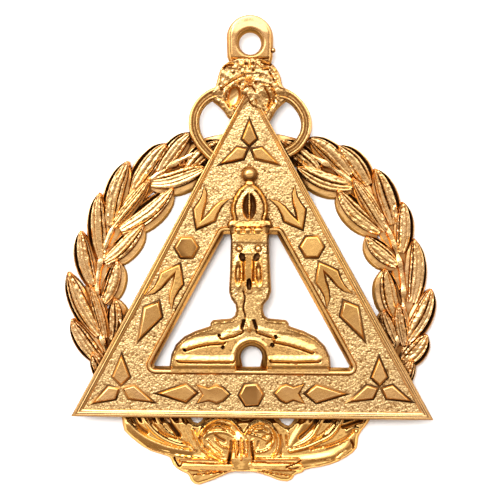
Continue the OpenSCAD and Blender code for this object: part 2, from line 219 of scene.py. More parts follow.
def dome(x, y, at, along, across, degrees=0, high=1.0):
    # a round-topped grain or petal
    c, s = math.cos(math.radians(degrees)), math.sin(math.radians(degrees))
    u, v = (x - at[0]) * c + (y - at[1]) * s, (y - at[1]) * c - (x - at[0]) * s
    return high * np.sqrt(unit(1 - (u / along) ** 2 - (v / across) ** 2))


def openSides(faces):
    # the sides that only one face has
    sides = {(face[k], face[(k + 1) % len(face)]) for face in faces for k in range(len(face))}
    return [(p, q) for p, q in sides if (q, p) not in sides]


def filled(loops, spacing, seed):
    # points and triangles that fill an outline around its holes
    edge = np.concatenate(loops)
    lo, hi = edge.min(0), edge.max(0)
    rowStep = spacing * 0.866
    gx, gy = np.meshgrid(np.arange(lo[0], hi[0], spacing), np.arange(lo[1], hi[1], rowStep))
    gx = gx + (np.arange(len(gx)) % 2)[:, None] * spacing / 2
    inner = np.stack([gx.ravel(), gy.ravel()], 1)
    inner += np.random.default_rng(seed).uniform(-0.12, 0.12, inner.shape) * spacing
    inner = inner[distanceToMetal(inner, loops) < -0.55 * spacing]
    starts = np.cumsum([0] + [len(loop) for loop in loops])
    sides = [(a + k, a + (k + 1) % (b - a)) for a, b in zip(starts, starts[1:]) for k in range(b - a)]
    spots = [Vector(p) for p in np.concatenate([edge, inner]).tolist()]
    found, _, faces, _, _, _ = delaunay_2d_cdt(spots, sides, [], 1, 1e-5)
    xy = np.array([tuple(p) for p in found])
    corners = xy[np.array(faces)]
    ab, ac = corners[:, 1] - corners[:, 0], corners[:, 2] - corners[:, 0]
    area = ab[:, 0] * ac[:, 1] - ab[:, 1] * ac[:, 0]
    kept = distanceToMetal(corners.mean(1), loops) < 0
    return xy, [list(f if up > 0 else f[::-1]) for f, up, keep in zip(faces, area, kept) if keep]


class Casting:
    # gathers the closed shells of one casting and makes its mesh

    def __init__(self):
        self.points, self.faces, self.marks, self.total, self.warp = [], [], [], 0, None

    def add(self, points, faces, marks=0.0):
        # marks: how stippled each point is, and how much painted shade it has
        points = np.asarray(points, float)
        self.marks.append(np.zeros((len(points), 2)) + marks)
        self.points.append(self.warp(points) if self.warp else points)
        self.faces += [[i + self.total for i in face] for face in faces]
        self.total += len(points)

    def rings(self, rings, closed=False, marks=0.0):
        # a tube through rings of equally many points: capped at both ends, or joined up
        n, m = len(rings), len(rings[0])
        faces = []
        for i in range(n if closed else n - 1):
            a, b = i * m, (i + 1) % n * m
            faces += [(a + j, a + (j + 1) % m, b + (j + 1) % m, b + j) for j in range(m)]
        if not closed:
            faces += [tuple(range(m - 1, -1, -1)), tuple(range((n - 1) * m, n * m))]
        self.add(np.concatenate(rings), faces, marks)

    def bar(self, path, halfWidths, tops, profile, low, marks=0.0):
        # a bar along a path: the profile gives its top from right to left in shares of both
        path, n = np.asarray(path, float), len(path)
        along = np.gradient(path, axis=0)
        along /= np.linalg.norm(along, axis=1)[:, None]
        side = np.stack([-along[:, 1], along[:, 0]], 1)
        profile = np.broadcast_to(profile, (n,) + np.shape(profile)[-2:])
        halfWidths, tops = np.broadcast_to(halfWidths, n), np.broadcast_to(tops, n)
        rings = []
        for i in range(n):
            across = np.pad(profile[i, :, 0], 1, mode="edge") * halfWidths[i]
            high = np.pad(low + profile[i, :, 1] * (tops[i] - low), 1, constant_values=low)
            rings.append(np.column_stack([path[i] + across[:, None] * side[i], high]))
        self.rings(rings, marks=marks)

    def relief(self, outline, form, low, spacing, draft, seed, holes=()):
        # a solid with this outline, whose face follows form(x, y, distance from the edge)
        loops = [evenLoop(np.asarray(loop, float), spacing) for loop in (outline, *holes)]
        xy, front = filled(loops, spacing, seed)
        z, faceMarks = form(xy[:, 0], xy[:, 1], np.abs(distanceToMetal(xy, loops)))
        # walls flare out a little, down to a flat back
        rim = openSides(front)
        out = np.zeros((len(xy), 2))
        for p, q in rim:
            d = xy[q] - xy[p]
            out[[p, q]] += np.array([d[1], -d[0]]) / np.linalg.norm(d)
        ring = sorted({p for side in rim for p in side})
        out = out[ring] / np.maximum(np.linalg.norm(out[ring], axis=1), 1e-9)[:, None]
        foot = {p: len(xy) + k for k, p in enumerate(ring)}
        base = len(xy) + len(ring)
        walls = [[q, p, foot[p], foot[q]] for p, q in rim]
        back = [[foot.get(i, base + i) for i in face[::-1]] for face in front]
        faces = front + walls + back
        feet = level(xy[ring] + out * draft, low)
        points = np.concatenate([np.column_stack([xy, z]), feet, level(xy, low)])
        marks = np.zeros((len(points), 2))
        marks[:len(xy)] = faceMarks
        # painted shade on the walls and the back
        marks[len(xy):, 1] = 0.5
        used, flat = np.unique([i for face in faces for i in face], return_inverse=True)
        ends = np.cumsum([0] + [len(face) for face in faces])
        self.add(points[used], [flat[a:b] for a, b in zip(ends, ends[1:])], marks[used])

    def build(self, name, skin, slot, node, recessShade):
        points, marks = np.concatenate(self.points), np.concatenate(self.marks)
        # painted shade from the recess map joins each point's own
        marks[:, 1] = np.maximum(marks[:, 1], recessShade(points))
        mesh = bpy.data.meshes.new(name)
        mesh.from_pydata((points * mm).tolist(), [], self.faces)
        for kind, values in zip(("stipple", "recessShade"), marks.T):
            attribute = mesh.attributes.new(kind, "FLOAT", "POINT")
            attribute.data.foreach_set("value", values.astype(np.float32))
        mesh.shade_smooth()
        mesh.set_sharp_from_angle(angle=math.radians(38))
        mesh.materials.append(skin)
        piece = linked(name, mesh)
        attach(piece, "root")
        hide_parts(node)
        print(name, len(points), "points", len(self.faces), "faces")


def linked(name, data):
    thing = bpy.data.objects.new(name, data)
    bpy.context.scene.collection.objects.link(thing)
    return thing


def blurred(grid, cells):
    # a box blur along each axis in turn, three times over
    span = 2 * cells + 1
    for _ in range(6):
        total = np.cumsum(np.pad(grid, ((cells + 1, cells), (0, 0))), 0)
        grid = ((total[span:] - total[:-span]) / span).T
    return grid


def recessShadeMap(castings, cell=0.2, reach=41.0):
    # painted shade: how far each point lies below its neighbours, darkest in grooves and at the foot of
    # taller walls
    count = int(2 * reach / cell)

    def cellOf(points):
        return ((points[:, :2] + reach) / cell).astype(int).clip(0, count - 1).T

    tops = np.zeros((count, count))
    points = np.concatenate([p for casting in castings for p in casting.points])
    col, row = cellOf(points)
    np.maximum.at(tops, (row, col), points[:, 2])
    for i, j in ((1, 0), (0, 1), (-1, 0), (0, -1)):
        # an empty cell between two full ones takes the height of one of them
        before, after = np.roll(tops, (i, j), (0, 1)), np.roll(tops, (-i, -j), (0, 1))
        tops = np.where((tops == 0) & (after > 0), before, tops)
    around = [np.roll(tops, (i, j), (0, 1)) for i in (-1, 0, 1) for j in (-1, 0, 1)]
    grids = blurred(tops, 1), blurred(tops, 3), np.max(around, 0)

    def recessShade(points):
        col, row = cellOf(points)
        nearDrop, farDrop, wallDrop = (grid[row, col] - points[:, 2] for grid in grids)
        # painted shade in grooves and beside taller walls
        groove = 0.45 * unit((nearDrop - 0.06) / 0.4) + 0.35 * unit(farDrop - 0.15)
        return np.maximum(groove, 0.7 * unit(wallDrop - 0.4))

    return recessShade


# Gold finishes

finish = {
    "yellow": (0.97, 0.6, 0.2), "copper": (0.96, 0.65, 0.38), "paleHighlight": (1.0, 0.78, 0.4),
    "amberShade": (0.5, 0.25, 0.075), "recessShade": (0.06, 0.026, 0.01),  # painted shade: amber first, then dark
    "glancing": (1.0, 0.68, 0.42, 1),  # keeps steep walls from going grey
    "polishedRoughness": 0.16, "stippleRoughness": 0.27, "recessRoughness": 0.25, "haze": 0.12,
    "grainSize": 0.28, "bumpHeight": 0.06, "bumpStrength": 0.9,
    "clouds": 1.1, "outwardCopper": 22.0,  # how patchy the colour is, and how fast it turns copper outward
}


def goldSkin(name, look, warmth=0.0):
    mat = bpy.data.materials.new(name)
    mat.use_nodes = True
    nodes, links = mat.node_tree.nodes, mat.node_tree.links
    shader = nodes["Principled BSDF"]
    shader.inputs["Metallic"].default_value = 1
    shader.inputs["Specular Tint"].default_value = look["glancing"]
    place = nodes.new("ShaderNodeTexCoord").outputs["Object"]

    def feed(socket, value):
        # a link where the value is a socket, else the bare number or colour
        if hasattr(value, "is_linked"):
            links.new(value, socket)
        else:
            socket.default_value = (*value, 1) if isinstance(value, tuple) else value

    def noise(scale, detail=2.0, rough=0.5):
        n = nodes.new("ShaderNodeTexNoise")
        for socket, value in (("Scale", scale), ("Detail", detail), ("Roughness", rough), ("Vector", place)):
            feed(n.inputs[socket], value)
        return n.outputs[0]

    def maths(kind, a, b, clamp=False):
        n = nodes.new("ShaderNodeMath")
        n.operation, n.use_clamp = kind, clamp
        feed(n.inputs[0], a)
        feed(n.inputs[1], b)
        return n.outputs[0]

    def blend(amount, a, b):
        n = nodes.new("ShaderNodeMix")
        n.data_type = "RGBA"
        for socket, value in ((0, amount), (6, a), (7, b)):
            feed(n.inputs[socket], value)
        return n.outputs[2]

    def mark(kind):
        n = nodes.new("ShaderNodeAttribute")
        n.attribute_name = kind
        return n.outputs["Fac"]

    # colour: turns to copper away from the middle, and clouds vary it
    distance = nodes.new("ShaderNodeVectorMath")
    distance.operation = "LENGTH"
    links.new(place, distance.inputs[0])
    away = maths("MULTIPLY", distance.outputs["Value"], look["outwardCopper"])
    cloud = maths("MULTIPLY", maths("SUBTRACT", noise(260, 3), 0.5), look["clouds"])
    amount = maths("ADD", maths("ADD", away, cloud), warmth - 0.35, clamp=True)
    tint = blend(amount, look["yellow"], look["copper"])
    stipple, recessShade = mark("stipple"), mark("recessShade")
    # painted highlight: the stippled ground is tinted pale
    tint = blend(maths("MULTIPLY", stipple, 0.65), tint, look["paleHighlight"])

    # painted shade in the recesses and between the grains: amber first, standing for light bounced inside
    # the hollows, then nearly black
    grains = nodes.new("ShaderNodeTexVoronoi")
    feed(grains.inputs["Scale"], 1 / (look["grainSize"] * mm))
    feed(grains.inputs["Vector"], place)
    grainDistance = grains.outputs["Distance"]
    crevice = maths("MULTIPLY", maths("SUBTRACT", grainDistance, 0.42), 1.2, clamp=True)
    paintedShade = maths("ADD", recessShade, maths("MULTIPLY", crevice, stipple), clamp=True)
    tint = blend(maths("MULTIPLY", paintedShade, 1.6, clamp=True), tint, look["amberShade"])
    dark = maths("MULTIPLY", maths("SUBTRACT", paintedShade, 0.45), 1.75, clamp=True)
    links.new(blend(dark, tint, look["recessShade"]), shader.inputs["Base Color"])

    # roughness: polished, with fine hazy patches, and duller where stippled or in the shaded recesses
    haze = maths("MULTIPLY", noise(900, 4, 0.6), look["haze"])
    dull = maths("MULTIPLY", recessShade, look["recessRoughness"])
    matt = maths("MULTIPLY", stipple, look["stippleRoughness"] - look["polishedRoughness"])
    plain = maths("ADD", matt, look["polishedRoughness"] - look["haze"] / 2)
    links.new(maths("ADD", maths("ADD", haze, dull), plain), shader.inputs["Roughness"])

    # relief: a cast skin all over, sharper grains on the stippled ground
    skinHeight = maths("ADD", maths("MULTIPLY", noise(1500, 3), 0.25), noise(800, 2))
    grainHeight = maths("MULTIPLY", grainDistance, maths("MULTIPLY", stipple, -1.25))
    bump = nodes.new("ShaderNodeBump")
    bump.inputs["Strength"].default_value = look["bumpStrength"]
    bump.inputs["Distance"].default_value = look["bumpHeight"] * mm
    links.new(maths("ADD", skinHeight, grainHeight), bump.inputs["Height"])
    links.new(bump.outputs[0], shader.inputs["Normal"])
    return mat


# Triangle plate

plate = {
    "baseWidth": 58.9, "height": 54.1, "baseY": -27.3, "back": 2.65, "ground": 3.95,
    # distance in from the edge, height above the ground, painted shade
    "outerRim": [
        (0, -1.3, 0.9), (0.04, -0.5, 0.9), (0.1, 0.1, 0.8), (0.17, 0.2, 0.4), (0.24, 0.22, 0),
        (0.45, 0.235, 0), (0.52, 0.22, 0.2), (0.57, 0.18, 1), (0.61, 0.2, 0.8), (0.68, 0.32, 0.1),
        (0.75, 0.36, 0), (0.82, 0.33, 0.1), (0.88, 0.26, 0.8), (0.94, 0.24, 0.5), (1.0, 0.23, 0),
        (1.2, 0.12, 0), (1.32, 0.0, 0.4), (1.4, -0.6, 0.6),
    ],
    # distance out from the opening, height above the ground, painted shade
    "windowRim": [
        (-0.52, -1.3, 0.5), (-0.49, -1.05, 0.5), (-0.34, -0.5, 0.42), (-0.14, 0.0, 0.4), (0.02, 0.22, 0.2),
        (0.12, 0.31, 0), (0.22, 0.35, 0), (0.34, 0.345, 0), (0.42, 0.33, 0.1), (0.48, 0.26, 0.9),
        (0.56, 0.2, 0.7), (0.68, 0.05, 0.1), (0.76, -0.03, 0.1), (0.8, -0.6, 0.4),
    ],
    "outerFoot": 1.4, "windowFoot": 0.8, "footShade": 0.6,  # where the rims meet the back, and the painted shade there
    "outerStipple": 0.12, "windowStipple": 0.2,
    "windowLow": -19.5, "windowHigh": 3.05, "legWidth": 7.3, "windowRound": 0.75,
    "grid": 0.16, "grainHeight": 0.0825, "waveHeight": 0.08,
    "groundBox": (29, 0.9, 26),  # half-width of the ground's grid, its start above baseY, its end
    "groundIn": 1.0, "groundOut": 0.45,  # how far the ground keeps from the edge and the opening
}
plateSlope = plate["baseWidth"] / 2 / plate["height"]


def apexAt(inset):
    # height of the apex, drawn in by a distance
    return plate["baseY"] + plate["height"] - inset * math.sqrt(1 + 1 / plateSlope**2)


def halfAt(y, inset):
    # half-width of the triangle at a height, drawn in by a distance
    return (apexAt(inset) - y) * plateSlope


def rimShare(y):
    # the rims grow slimmer toward the apex
    return 1 - 0.36 * unit((y + 5) / 22)


def triangleRing(inset, pieces=80):
    low = plate["baseY"] + inset
    corners = np.array([[-halfAt(low, inset), low], [halfAt(low, inset), low], [0, apexAt(inset)]])
    t = np.linspace(0, 1, pieces, endpoint=False)[:, None]
    ring = np.concatenate([corners[k] + (corners[(k + 1) % 3] - corners[k]) * t for k in range(3)])
    slimmer = inset * (1 - rimShare(ring[:, 1])) * math.sqrt(1 + plateSlope**2)
    ring[:, 0] += np.sign(ring[:, 0]) * slimmer
    return ring


def windowLoop():
    low, high, leg = plate["windowLow"], plate["windowHigh"], plate["legWidth"]
    corners = [(side * halfAt(y, leg), y) for side, y in ((-1, low), (1, low), (1, high), (-1, high))]
    return roundedLoop(corners, plate["windowRound"])


def handSkew(points):
    # the hand-finished plate leans a little: base drops to the right, foot sits right of the apex
    x, y, z = points.T
    low = unit((apexAt(0) - y) / plate["height"])
    return np.stack([x + 0.1 - 0.0098 * y, y - 0.0105 * x * low, z], 1)


def addRim(casting, rows, ringAt, stipple, cloudy):
    rings = [level(ringAt(distance), plate["ground"] + high) for distance, high, _ in rows]
    # painted shade along the rims' dark lines, patchy on the outer rim
    paintedShade = np.repeat([paintedShade for _, _, paintedShade in rows], len(rings[0]))
    if cloudy:
        x, y, _ = np.concatenate(rings).T
        paintedShade = paintedShade * (0.45 + valueNoise(x, y, 2.2, 9))
    casting.rings(rings, closed=True, marks=painted(stipple, paintedShade))


def addGround(casting, window):
    # a stippled slab whose ragged edge ends inside the rims
    step = plate["grid"]
    side, base, top = plate["groundBox"]
    gx, gy = np.meshgrid(np.arange(-side, side, step), np.arange(plate["baseY"] + base, top, step))
    xy = np.stack([gx.ravel(), gy.ravel()], 1)
    inEdge = distanceToLoop(xy, triangleRing(0, 1)) < -plate["groundIn"] * rimShare(xy[:, 1])
    keep = (inEdge & (distanceToLoop(xy, window) > plate["groundOut"])).reshape(gx.shape)
    rows, cols = np.nonzero(keep[:-1, :-1] & keep[1:, :-1] & keep[:-1, 1:] & keep[1:, 1:])
    index = np.arange(gx.size).reshape(gx.shape)
    quads = np.stack([index[rows + i, cols + j] for i, j in ((0, 0), (0, 1), (1, 1), (1, 0))], 1)
    used, quads = np.unique(quads, return_inverse=True)
    quads, count = quads.reshape(-1, 4).tolist(), len(used)
    xy = xy[used] + np.random.default_rng(4).uniform(-0.3, 0.3, (count, 2)) * step
    x, y = xy.T
    grain = 1.1 * valueNoise(x, y, 0.21, 1) + 0.35 * valueNoise(x, y, 0.42, 2) - 0.725
    grain = grain * (1 - 0.35 * unit((y - 4) / 12))  # smoother toward the apex
    wave = valueNoise(x, y, 3.5, 3) - 0.5
    z = plate["ground"] + plate["grainHeight"] * grain + plate["waveHeight"] * wave
    faces = quads + [[i + count for i in quad[::-1]] for quad in quads]
    faces += [(b, a, a + count, b + count) for a, b in openSides(quads)]
    points = np.concatenate([np.column_stack([xy, z]), level(xy, plate["back"] + 0.02)])
    # painted shade in the hollows between the grains
    paintedShade = np.concatenate([np.clip(-1.1 * grain - 0.24, 0, 0.7), np.zeros(count)])
    casting.add(points, faces, painted(np.repeat([1, 0], count), paintedShade))


def addPlate(casting):
    window, drop = windowLoop(), plate["back"] - plate["ground"]
    outward = loopNormals(window)
    outerRows = [*plate["outerRim"], (plate["outerFoot"], drop, plate["footShade"])]
    windowRows = [*plate["windowRim"], (plate["windowFoot"], drop, plate["footShade"])][::-1]
    casting.warp = handSkew
    addRim(casting, outerRows, triangleRing, plate["outerStipple"], True)
    addRim(casting, windowRows, lambda out: window + outward * out, plate["windowStipple"], False)
    addGround(casting, window)
    casting.warp = None


# Raised polished shapes on the plate

shapes = {
    "height": 0.58, "bevel": 0.3, "trioGap": 0.25, "trioShade": 0.15,
    # middle, then for its three kites: direction, length, width, and which way the top leans
    "trios": [
        ((-0.1, 16.5), [
            (90, 4.3, 2.5, (0.02, 0.05)), (209, 5.2, 2.3, (-0.02, -0.01)), (331, 5.3, 2.3, (0.03, 0)),
        ]),
        ((-20.85, -22.2), [
            (89, 5.1, 2.9, (0.02, 0.02)), (209, 5.1, 2.5, (0.05, -0.06)), (336, 5.7, 2.5, (0.02, 0.01)),
        ]),
        ((20.95, -22.2), [
            (91, 4.7, 2.7, (-0.02, 0.02)), (205, 5.3, 2.5, (0.02, -0.03)), (336, 5.4, 2.5, (-0.03, -0.08)),
        ]),
    ],
    # each outline is half a shape, in shares of length and width, with how much of the bevel
    # that corner takes; each row is start, direction, length, width and lean
    "kites": {
        "bevel": 0.36, "paintedShade": 0.22, "outline": [(0, 0, 1), (0.28, -0.5, 1), (1, 0, 1)],
        "rows": [
            ((-14.7, -8.2), 242.3, 7.4, 3.4, (0.01, 0.01)), ((15.1, -8.1), 297.7, 7.4, 3.4, (0.01, 0.02)),
            ((-8.5, -23.1), 180.5, 6.6, 3.1, (-0.02, 0.02)), ((8.8, -23.2), 359.5, 6.9, 3.1, (0.02, -0.02)),
        ],
    },
    "fishtails": {
        "bevel": 0.25, "paintedShade": 0,
        "outline": [
            (0, 0, 1), (0.18, -0.24, 1), (0.38, -0.48, 1), (0.55, -0.43, 0.8), (0.75, -0.43, 0.6),
            (1, -0.56, 0.25), (0.86, -0.31, 0.5), (0.68, -0.18, 0.8), (0.46, -0.1, 1), (0.24, 0, 0.9),
        ],
        "rows": [
            ((-8.65, 3.35), 61.5, 6.9, 4.2, (0.01, -0.04)), ((8.5, 3.3), 118.5, 6.9, 4.2, (-0.01, -0.045)),
            ((-11.3, -2.2), 241.5, 7.2, 4.3, (0.0, -0.03)), ((11.1, -1.9), 298.5, 7.2, 4.3, (0.02, 0.01)),
        ],
    },
    "barFishtails": {
        "bevel": 0.26, "paintedShade": 0.42,
        "outline": [
            (0, 0, 1), (0.2, -0.36, 1), (0.4, -0.5, 1), (0.64, -0.34, 0.8), (1, -0.5, 0.4), (0.82, 0, 0.8),
        ],
        "rows": [((-3.3, -23.3), 180, 5.3, 3.0, (-0.02, 0.03)), ((3.95, -23.2), 0, 4.8, 3.1, (0.02, 0.03))],
    },
    # middle, radius, turn, lean, painted shade on the top
    "hexagons": [
        ((-10.25, 0.4), 1.95, 0, (-0.02, 0.03), 0.6), ((10.0, 0.5), 2.0, 0, (0.03, -0.065), 0),
        ((0.2, -23.4), 2.05, 3, (-0.02, -0.02), 0.6),
    ],
}


def insetLoop(loop, distance):
    # moves every side in by the distance
    before, after = loop - np.roll(loop, 1, 0), np.roll(loop, -1, 0) - loop
    n1 = np.stack([-before[:, 1], before[:, 0]], 1) / np.linalg.norm(before, axis=1)[:, None]
    n2 = np.stack([-after[:, 1], after[:, 0]], 1) / np.linalg.norm(after, axis=1)[:, None]
    middle = n1 + n2
    reach = 2 / np.maximum((middle**2).sum(1), 0.35)
    return loop + middle * (reach * distance)[:, None]


def addRaised(casting, outline, lean, top, share=1, bevel=shapes["bevel"]):
    # a bevelled shape with a painted shadow line round its foot and painted shade on its top, its top tilted
    # as hand polishing leaves it
    high = shapes["height"]
    steps = [  # distance in, height above the ground, painted shade
        (-0.26, -0.4, 1), (-0.24, 0.03, 1), (-0.12, 0.09, 1), (0, 0.14, 1), (0.15 * bevel, 0.34 * high, 0.6),
        (0.7 * bevel, 0.88 * high, 0), (0.95 * bevel, 0.98 * high, 0), (1.1 * bevel, high, top),
        (1.4 * bevel, high, top),
    ]
    rings, marks = [], []
    for inset, lift, paintedShade in steps:
        ring = insetLoop(outline, inset * share)
        slope = (ring - outline.mean(0)) @ np.array(lean) * (lift > 0.3 * high)
        rings.append(np.column_stack([ring, plate["ground"] + lift + slope]))
        # the painted shade is patchy
        mottle = 0.35 + 1.3 * valueNoise(ring[:, 0], ring[:, 1], 1.1, 51)
        marks.append(painted(0, paintedShade * mottle))
    casting.rings(rings, marks=np.concatenate(marks))


def placed(half, at, direction, length, width, gap=0.0):
    # the whole outline in its place, and how much of the bevel each corner takes
    whole = np.array(half + [(u, -v, share) for u, v, share in half[-2:0:-1]])
    return turn(whole[:, :2] * (length, width) + (gap, 0), direction, at), whole[:, 2]


def addRaisedShapes(casting):
    kite, gap = shapes["kites"]["outline"], shapes["trioGap"]
    for at, kites in shapes["trios"]:
        for direction, length, width, lean in kites:
            outline, share = placed(kite, at, direction, length, width, gap)
            addRaised(casting, outline, lean, shapes["trioShade"], share)
    for kind in ("kites", "fishtails", "barFishtails"):
        shape = shapes[kind]
        for at, direction, length, width, lean in shape["rows"]:
            outline, share = placed(shape["outline"], at, direction, length, width)
            addRaised(casting, outline, lean, shape["paintedShade"], share, shape["bevel"])
    for at, radius, angle, lean, paintedShade in shapes["hexagons"]:
        ring = circle((0, 0), radius, np.radians(np.arange(6) * 60))
        addRaised(casting, turn(ring, angle, at), lean, paintedShade)


# Candlestick

stick = {
    "low": 2.68, "tallest": 5.72, "spacing": 0.13, "draft": 0.22,
    "outline": [  # from the neck under the ball down the left side, then up the right
        (-0.6, 10.7), (-1.7, 9.78), (-2.51, 8.49), (-2.99, 7.2), (-2.99, 6.06), (-2.67, 4.93),
        (-3.31, 4.61), (-3.56, 3.8), (-2.99, 2.51), (-2.91, 1.54), (-3.06, -3.31), (-3.23, -6.71),
        (-2.91, -7.84), (-2.18, -8.81), (-2.02, -9.78), (-2.3, -10.75), (-2.99, -11.32), (-5.9, -11.56),
        (-6.23, -11.88), (-6.31, -12.53), (-8.81, -13.34), (-10.59, -14.23), (-11.88, -15.44),
        (-12.61, -17.06), (-12.94, -19.32), (-12.9, -20.0), (12.9, -20.0), (12.94, -19.32), (12.77, -17.38),
        (12.05, -15.77), (10.59, -14.31), (8.65, -13.34), (6.14, -12.53), (6.06, -11.88), (5.74, -11.56),
        (2.83, -11.32), (2.18, -10.75), (1.86, -9.78), (2.02, -8.81), (2.83, -7.84), (3.23, -6.71),
        (3.07, -3.31), (2.83, 1.54), (2.91, 2.51), (3.48, 3.8), (3.23, 4.61), (2.51, 4.93), (2.83, 6.06),
        (2.83, 7.36), (2.34, 8.65), (1.54, 9.78), (0.45, 10.7),
    ],
    "beads": [(-1.85, 0.62), (-0.35, 0.68), (1.3, 0.85)],  # on the collar: across, radius
    "archMiddle": (0.22, -17.35), "archRadius": 1.95, "archWall": 0.6, "archFloor": -19.2,
    # raised bars of the foot, left to right: path, height, width above, width below
    "footBars": [
        ([(-4.4, -14.0), (-2.6, -13.6), (-1.5, -13.1)], 0.34, 1.1, 0.3),
        ([(1.4, -13.1), (3.0, -13.6), (4.0, -13.9)], 0.34, 1.1, 0.3),
        ([(-10.4, -15.9), (-8.6, -15.3), (-6.4, -14.9), (-4.4, -14.8)], 0.4, 1.25, 0.3),
        ([(4.2, -14.6), (6.4, -15.1), (8.4, -15.7), (10.0, -16.3)], 0.4, 1.25, 0.3),
        ([(-11.4, -17.75), (-7.6, -17.85), (-2.9, -17.85)], 0.36, 1.0, 0.3),
        ([(3.6, -17.75), (7.0, -17.85), (11.0, -17.75)], 0.36, 1.0, 0.3),
    ],
    "footPits": [
        ((-4.95, -13.75), 0.28), ((4.15, -13.9), 0.28), ((-10.55, -16.1), 0.25), ((3.6, -15.3), 0.35),
        ((-4.4, -15.7), 0.3),
    ],
    "ball": ((-0.08, 12.2, 4.6), 1.22, 0.95),
    # neck under the ball: path, half-widths, heights, profile
    "neck": [(-0.08, 11.6), (-0.08, 10.9), (-0.05, 10.2)], "neckHalf": [0.5, 0.62, 0.9],
    "neckTops": [4.9, 5.0, 5.15], "neckLow": 3.5,
    "neckProfile": [(-1, 0.5), (-0.7, 0.85), (0, 1), (0.7, 0.85), (1, 0.5)],
}


def bulbForm(x, y, edge, grain):
    # a raised border round a rough face, and a deep flame hollow with a bright tongue in it
    up, side = y - 6.6, np.abs(x + 0.1)
    around = np.hypot((x + 0.08) / 2.95, up / np.where(up > 0, 4.2, 3.4))
    groove = bell(edge - 0.62, 0.14) * (y < 9.6)
    hollow = dome(x, y, (-0.1, 7.0), 2.2, 1.15, 90)
    tongueHalf = 0.2 + 0.4 * unit(1 - np.abs(y - 7.2) / 1.7)
    z = 5.0 + 0.55 * np.sqrt(unit(1 - around**2)) + 0.05 * grain
    z += 0.16 * bell(edge - 0.28, 0.17) - 0.22 * groove
    z -= 0.75 * hollow
    z += 0.95 * hump(side / tongueHalf) * unit(hollow * 3)
    stipple = 0.8 * (1 - unit(hollow * 3)) * (edge > 0.6)
    tongue = unit(1.6 - 1.6 * side / tongueHalf)
    # painted shade in the border groove and in the hollow round the tongue
    paintedShade = np.maximum(0.9 * groove, unit(hollow * 2) * (1 - tongue))
    return np.minimum(z, stick["tallest"]), stipple, paintedShade


def collarForm(x, y, edge, grain):
    # a lip that catches the light, then beads in a sunk band
    lip = unit(np.minimum(4.85 - y, y - 3.72) / 0.12)
    z = 4.85 + 0.55 * np.sqrt(lip) - 0.14 * np.clip(y - 3.8, 0, 1.2) + 0.1 * grain * lip
    for bead, radius in stick["beads"]:
        z = np.maximum(z, 4.65 + dome(x, y, (bead, 3.22), radius, 0.52, high=0.7))
    z += 0.25 * bell(y - 2.68, 0.12)
    # painted shade at the ends of the band
    ends = unit((np.abs(x + 0.05) - 2.3) / 0.4) * (y < 4.0)
    return z - 0.35 * ends, 0.0, 0.8 * ends


def columnForm(x, y, edge, grain):
    # cap slope, rough band with two beads, strap, pierced ovals and a wandering groove
    z = 5.1 + 0.2 * unit((y - 1.0) / 0.3) - 0.09 * unit((y - 1.3) / 1.4)
    z += 0.09 * grain * (y < 1.2) * (np.abs(x + 0.22) > 0.55)
    z += 0.03 * grain * (y >= 1.2) - 0.12 * np.clip(y + 0.9, 0, 2.1)
    # painted shade round the beads, in the hollows, channels, ovals, pit and groove, and along the flanks
    paintedShades = []
    for at in ((-1.75, 0.2), (1.35, 0.2)):
        around = bell(np.hypot(x - at[0], y - at[1]) - 0.52, 0.13)
        z += dome(x, y, at, 0.42, 0.42, high=0.3) - 0.15 * around
        paintedShades.append(0.7 * around)
    for side in (-1, 1):
        hollow = dome(x, y, (side * 1.15 - 0.1, -1.15), 0.75, 0.5, 90 - side * 20)
        channel = ridge(x, y, [(side * 0.85 - 0.28, -1.6), (side * 0.78 - 0.28, -5.0)], 1.0, 0.2)
        z -= 0.45 * hollow + 0.25 * channel
        paintedShades += [unit(1.8 * hollow), 0.8 * channel]
    z += ridge(x, y, [(-0.25, -0.5), (-0.27, -3.0), (-0.2, -6.5)], 0.25, 0.62, flat=0.45)
    z += ridge(x, y, [(-0.85, -0.45), (0.35, -0.45)], 0.2, 0.42)
    pit = dome(x, y, (-0.15, -5.5), 0.95, 0.42, 90)
    z -= 0.7 * pit
    for at, lean in (((-1.95, -3.85), 0.02), ((1.4, -3.95), -0.03)):
        ring = np.hypot((x - at[0] - lean * (y - at[1])) / 0.62, (y - at[1]) / 2.25)
        channel = bell(ring - 0.5, 0.2) * (ring < 0.95)
        z += 0.26 * bell(ring - 0.95, 0.22) - 0.2 * channel
        paintedShades.append(0.75 * channel)
    wander = -0.95 + 0.12 * np.sin(2.2 * y) + 0.25 * unit((-10 - y) / 2)
    groove = bell(x - wander, 0.15) * unit((-6.2 - y) / 0.5) * unit((y + 11.5) / 0.8)
    z -= 0.3 * groove
    flanks = unit(1.6 - edge / 0.3) * unit((np.abs(x) - 1.6) / 0.3) * unit((1.2 - y) / 0.4)
    stipple = unit(1.6 - np.abs(y - 0.3) / 0.9) + 0.6 * (y < -6) + 0.5 * (np.abs(x) > 2.0)
    return z, stipple, np.max([*paintedShades, unit(2 * pit), groove, 0.6 * flanks], 0)


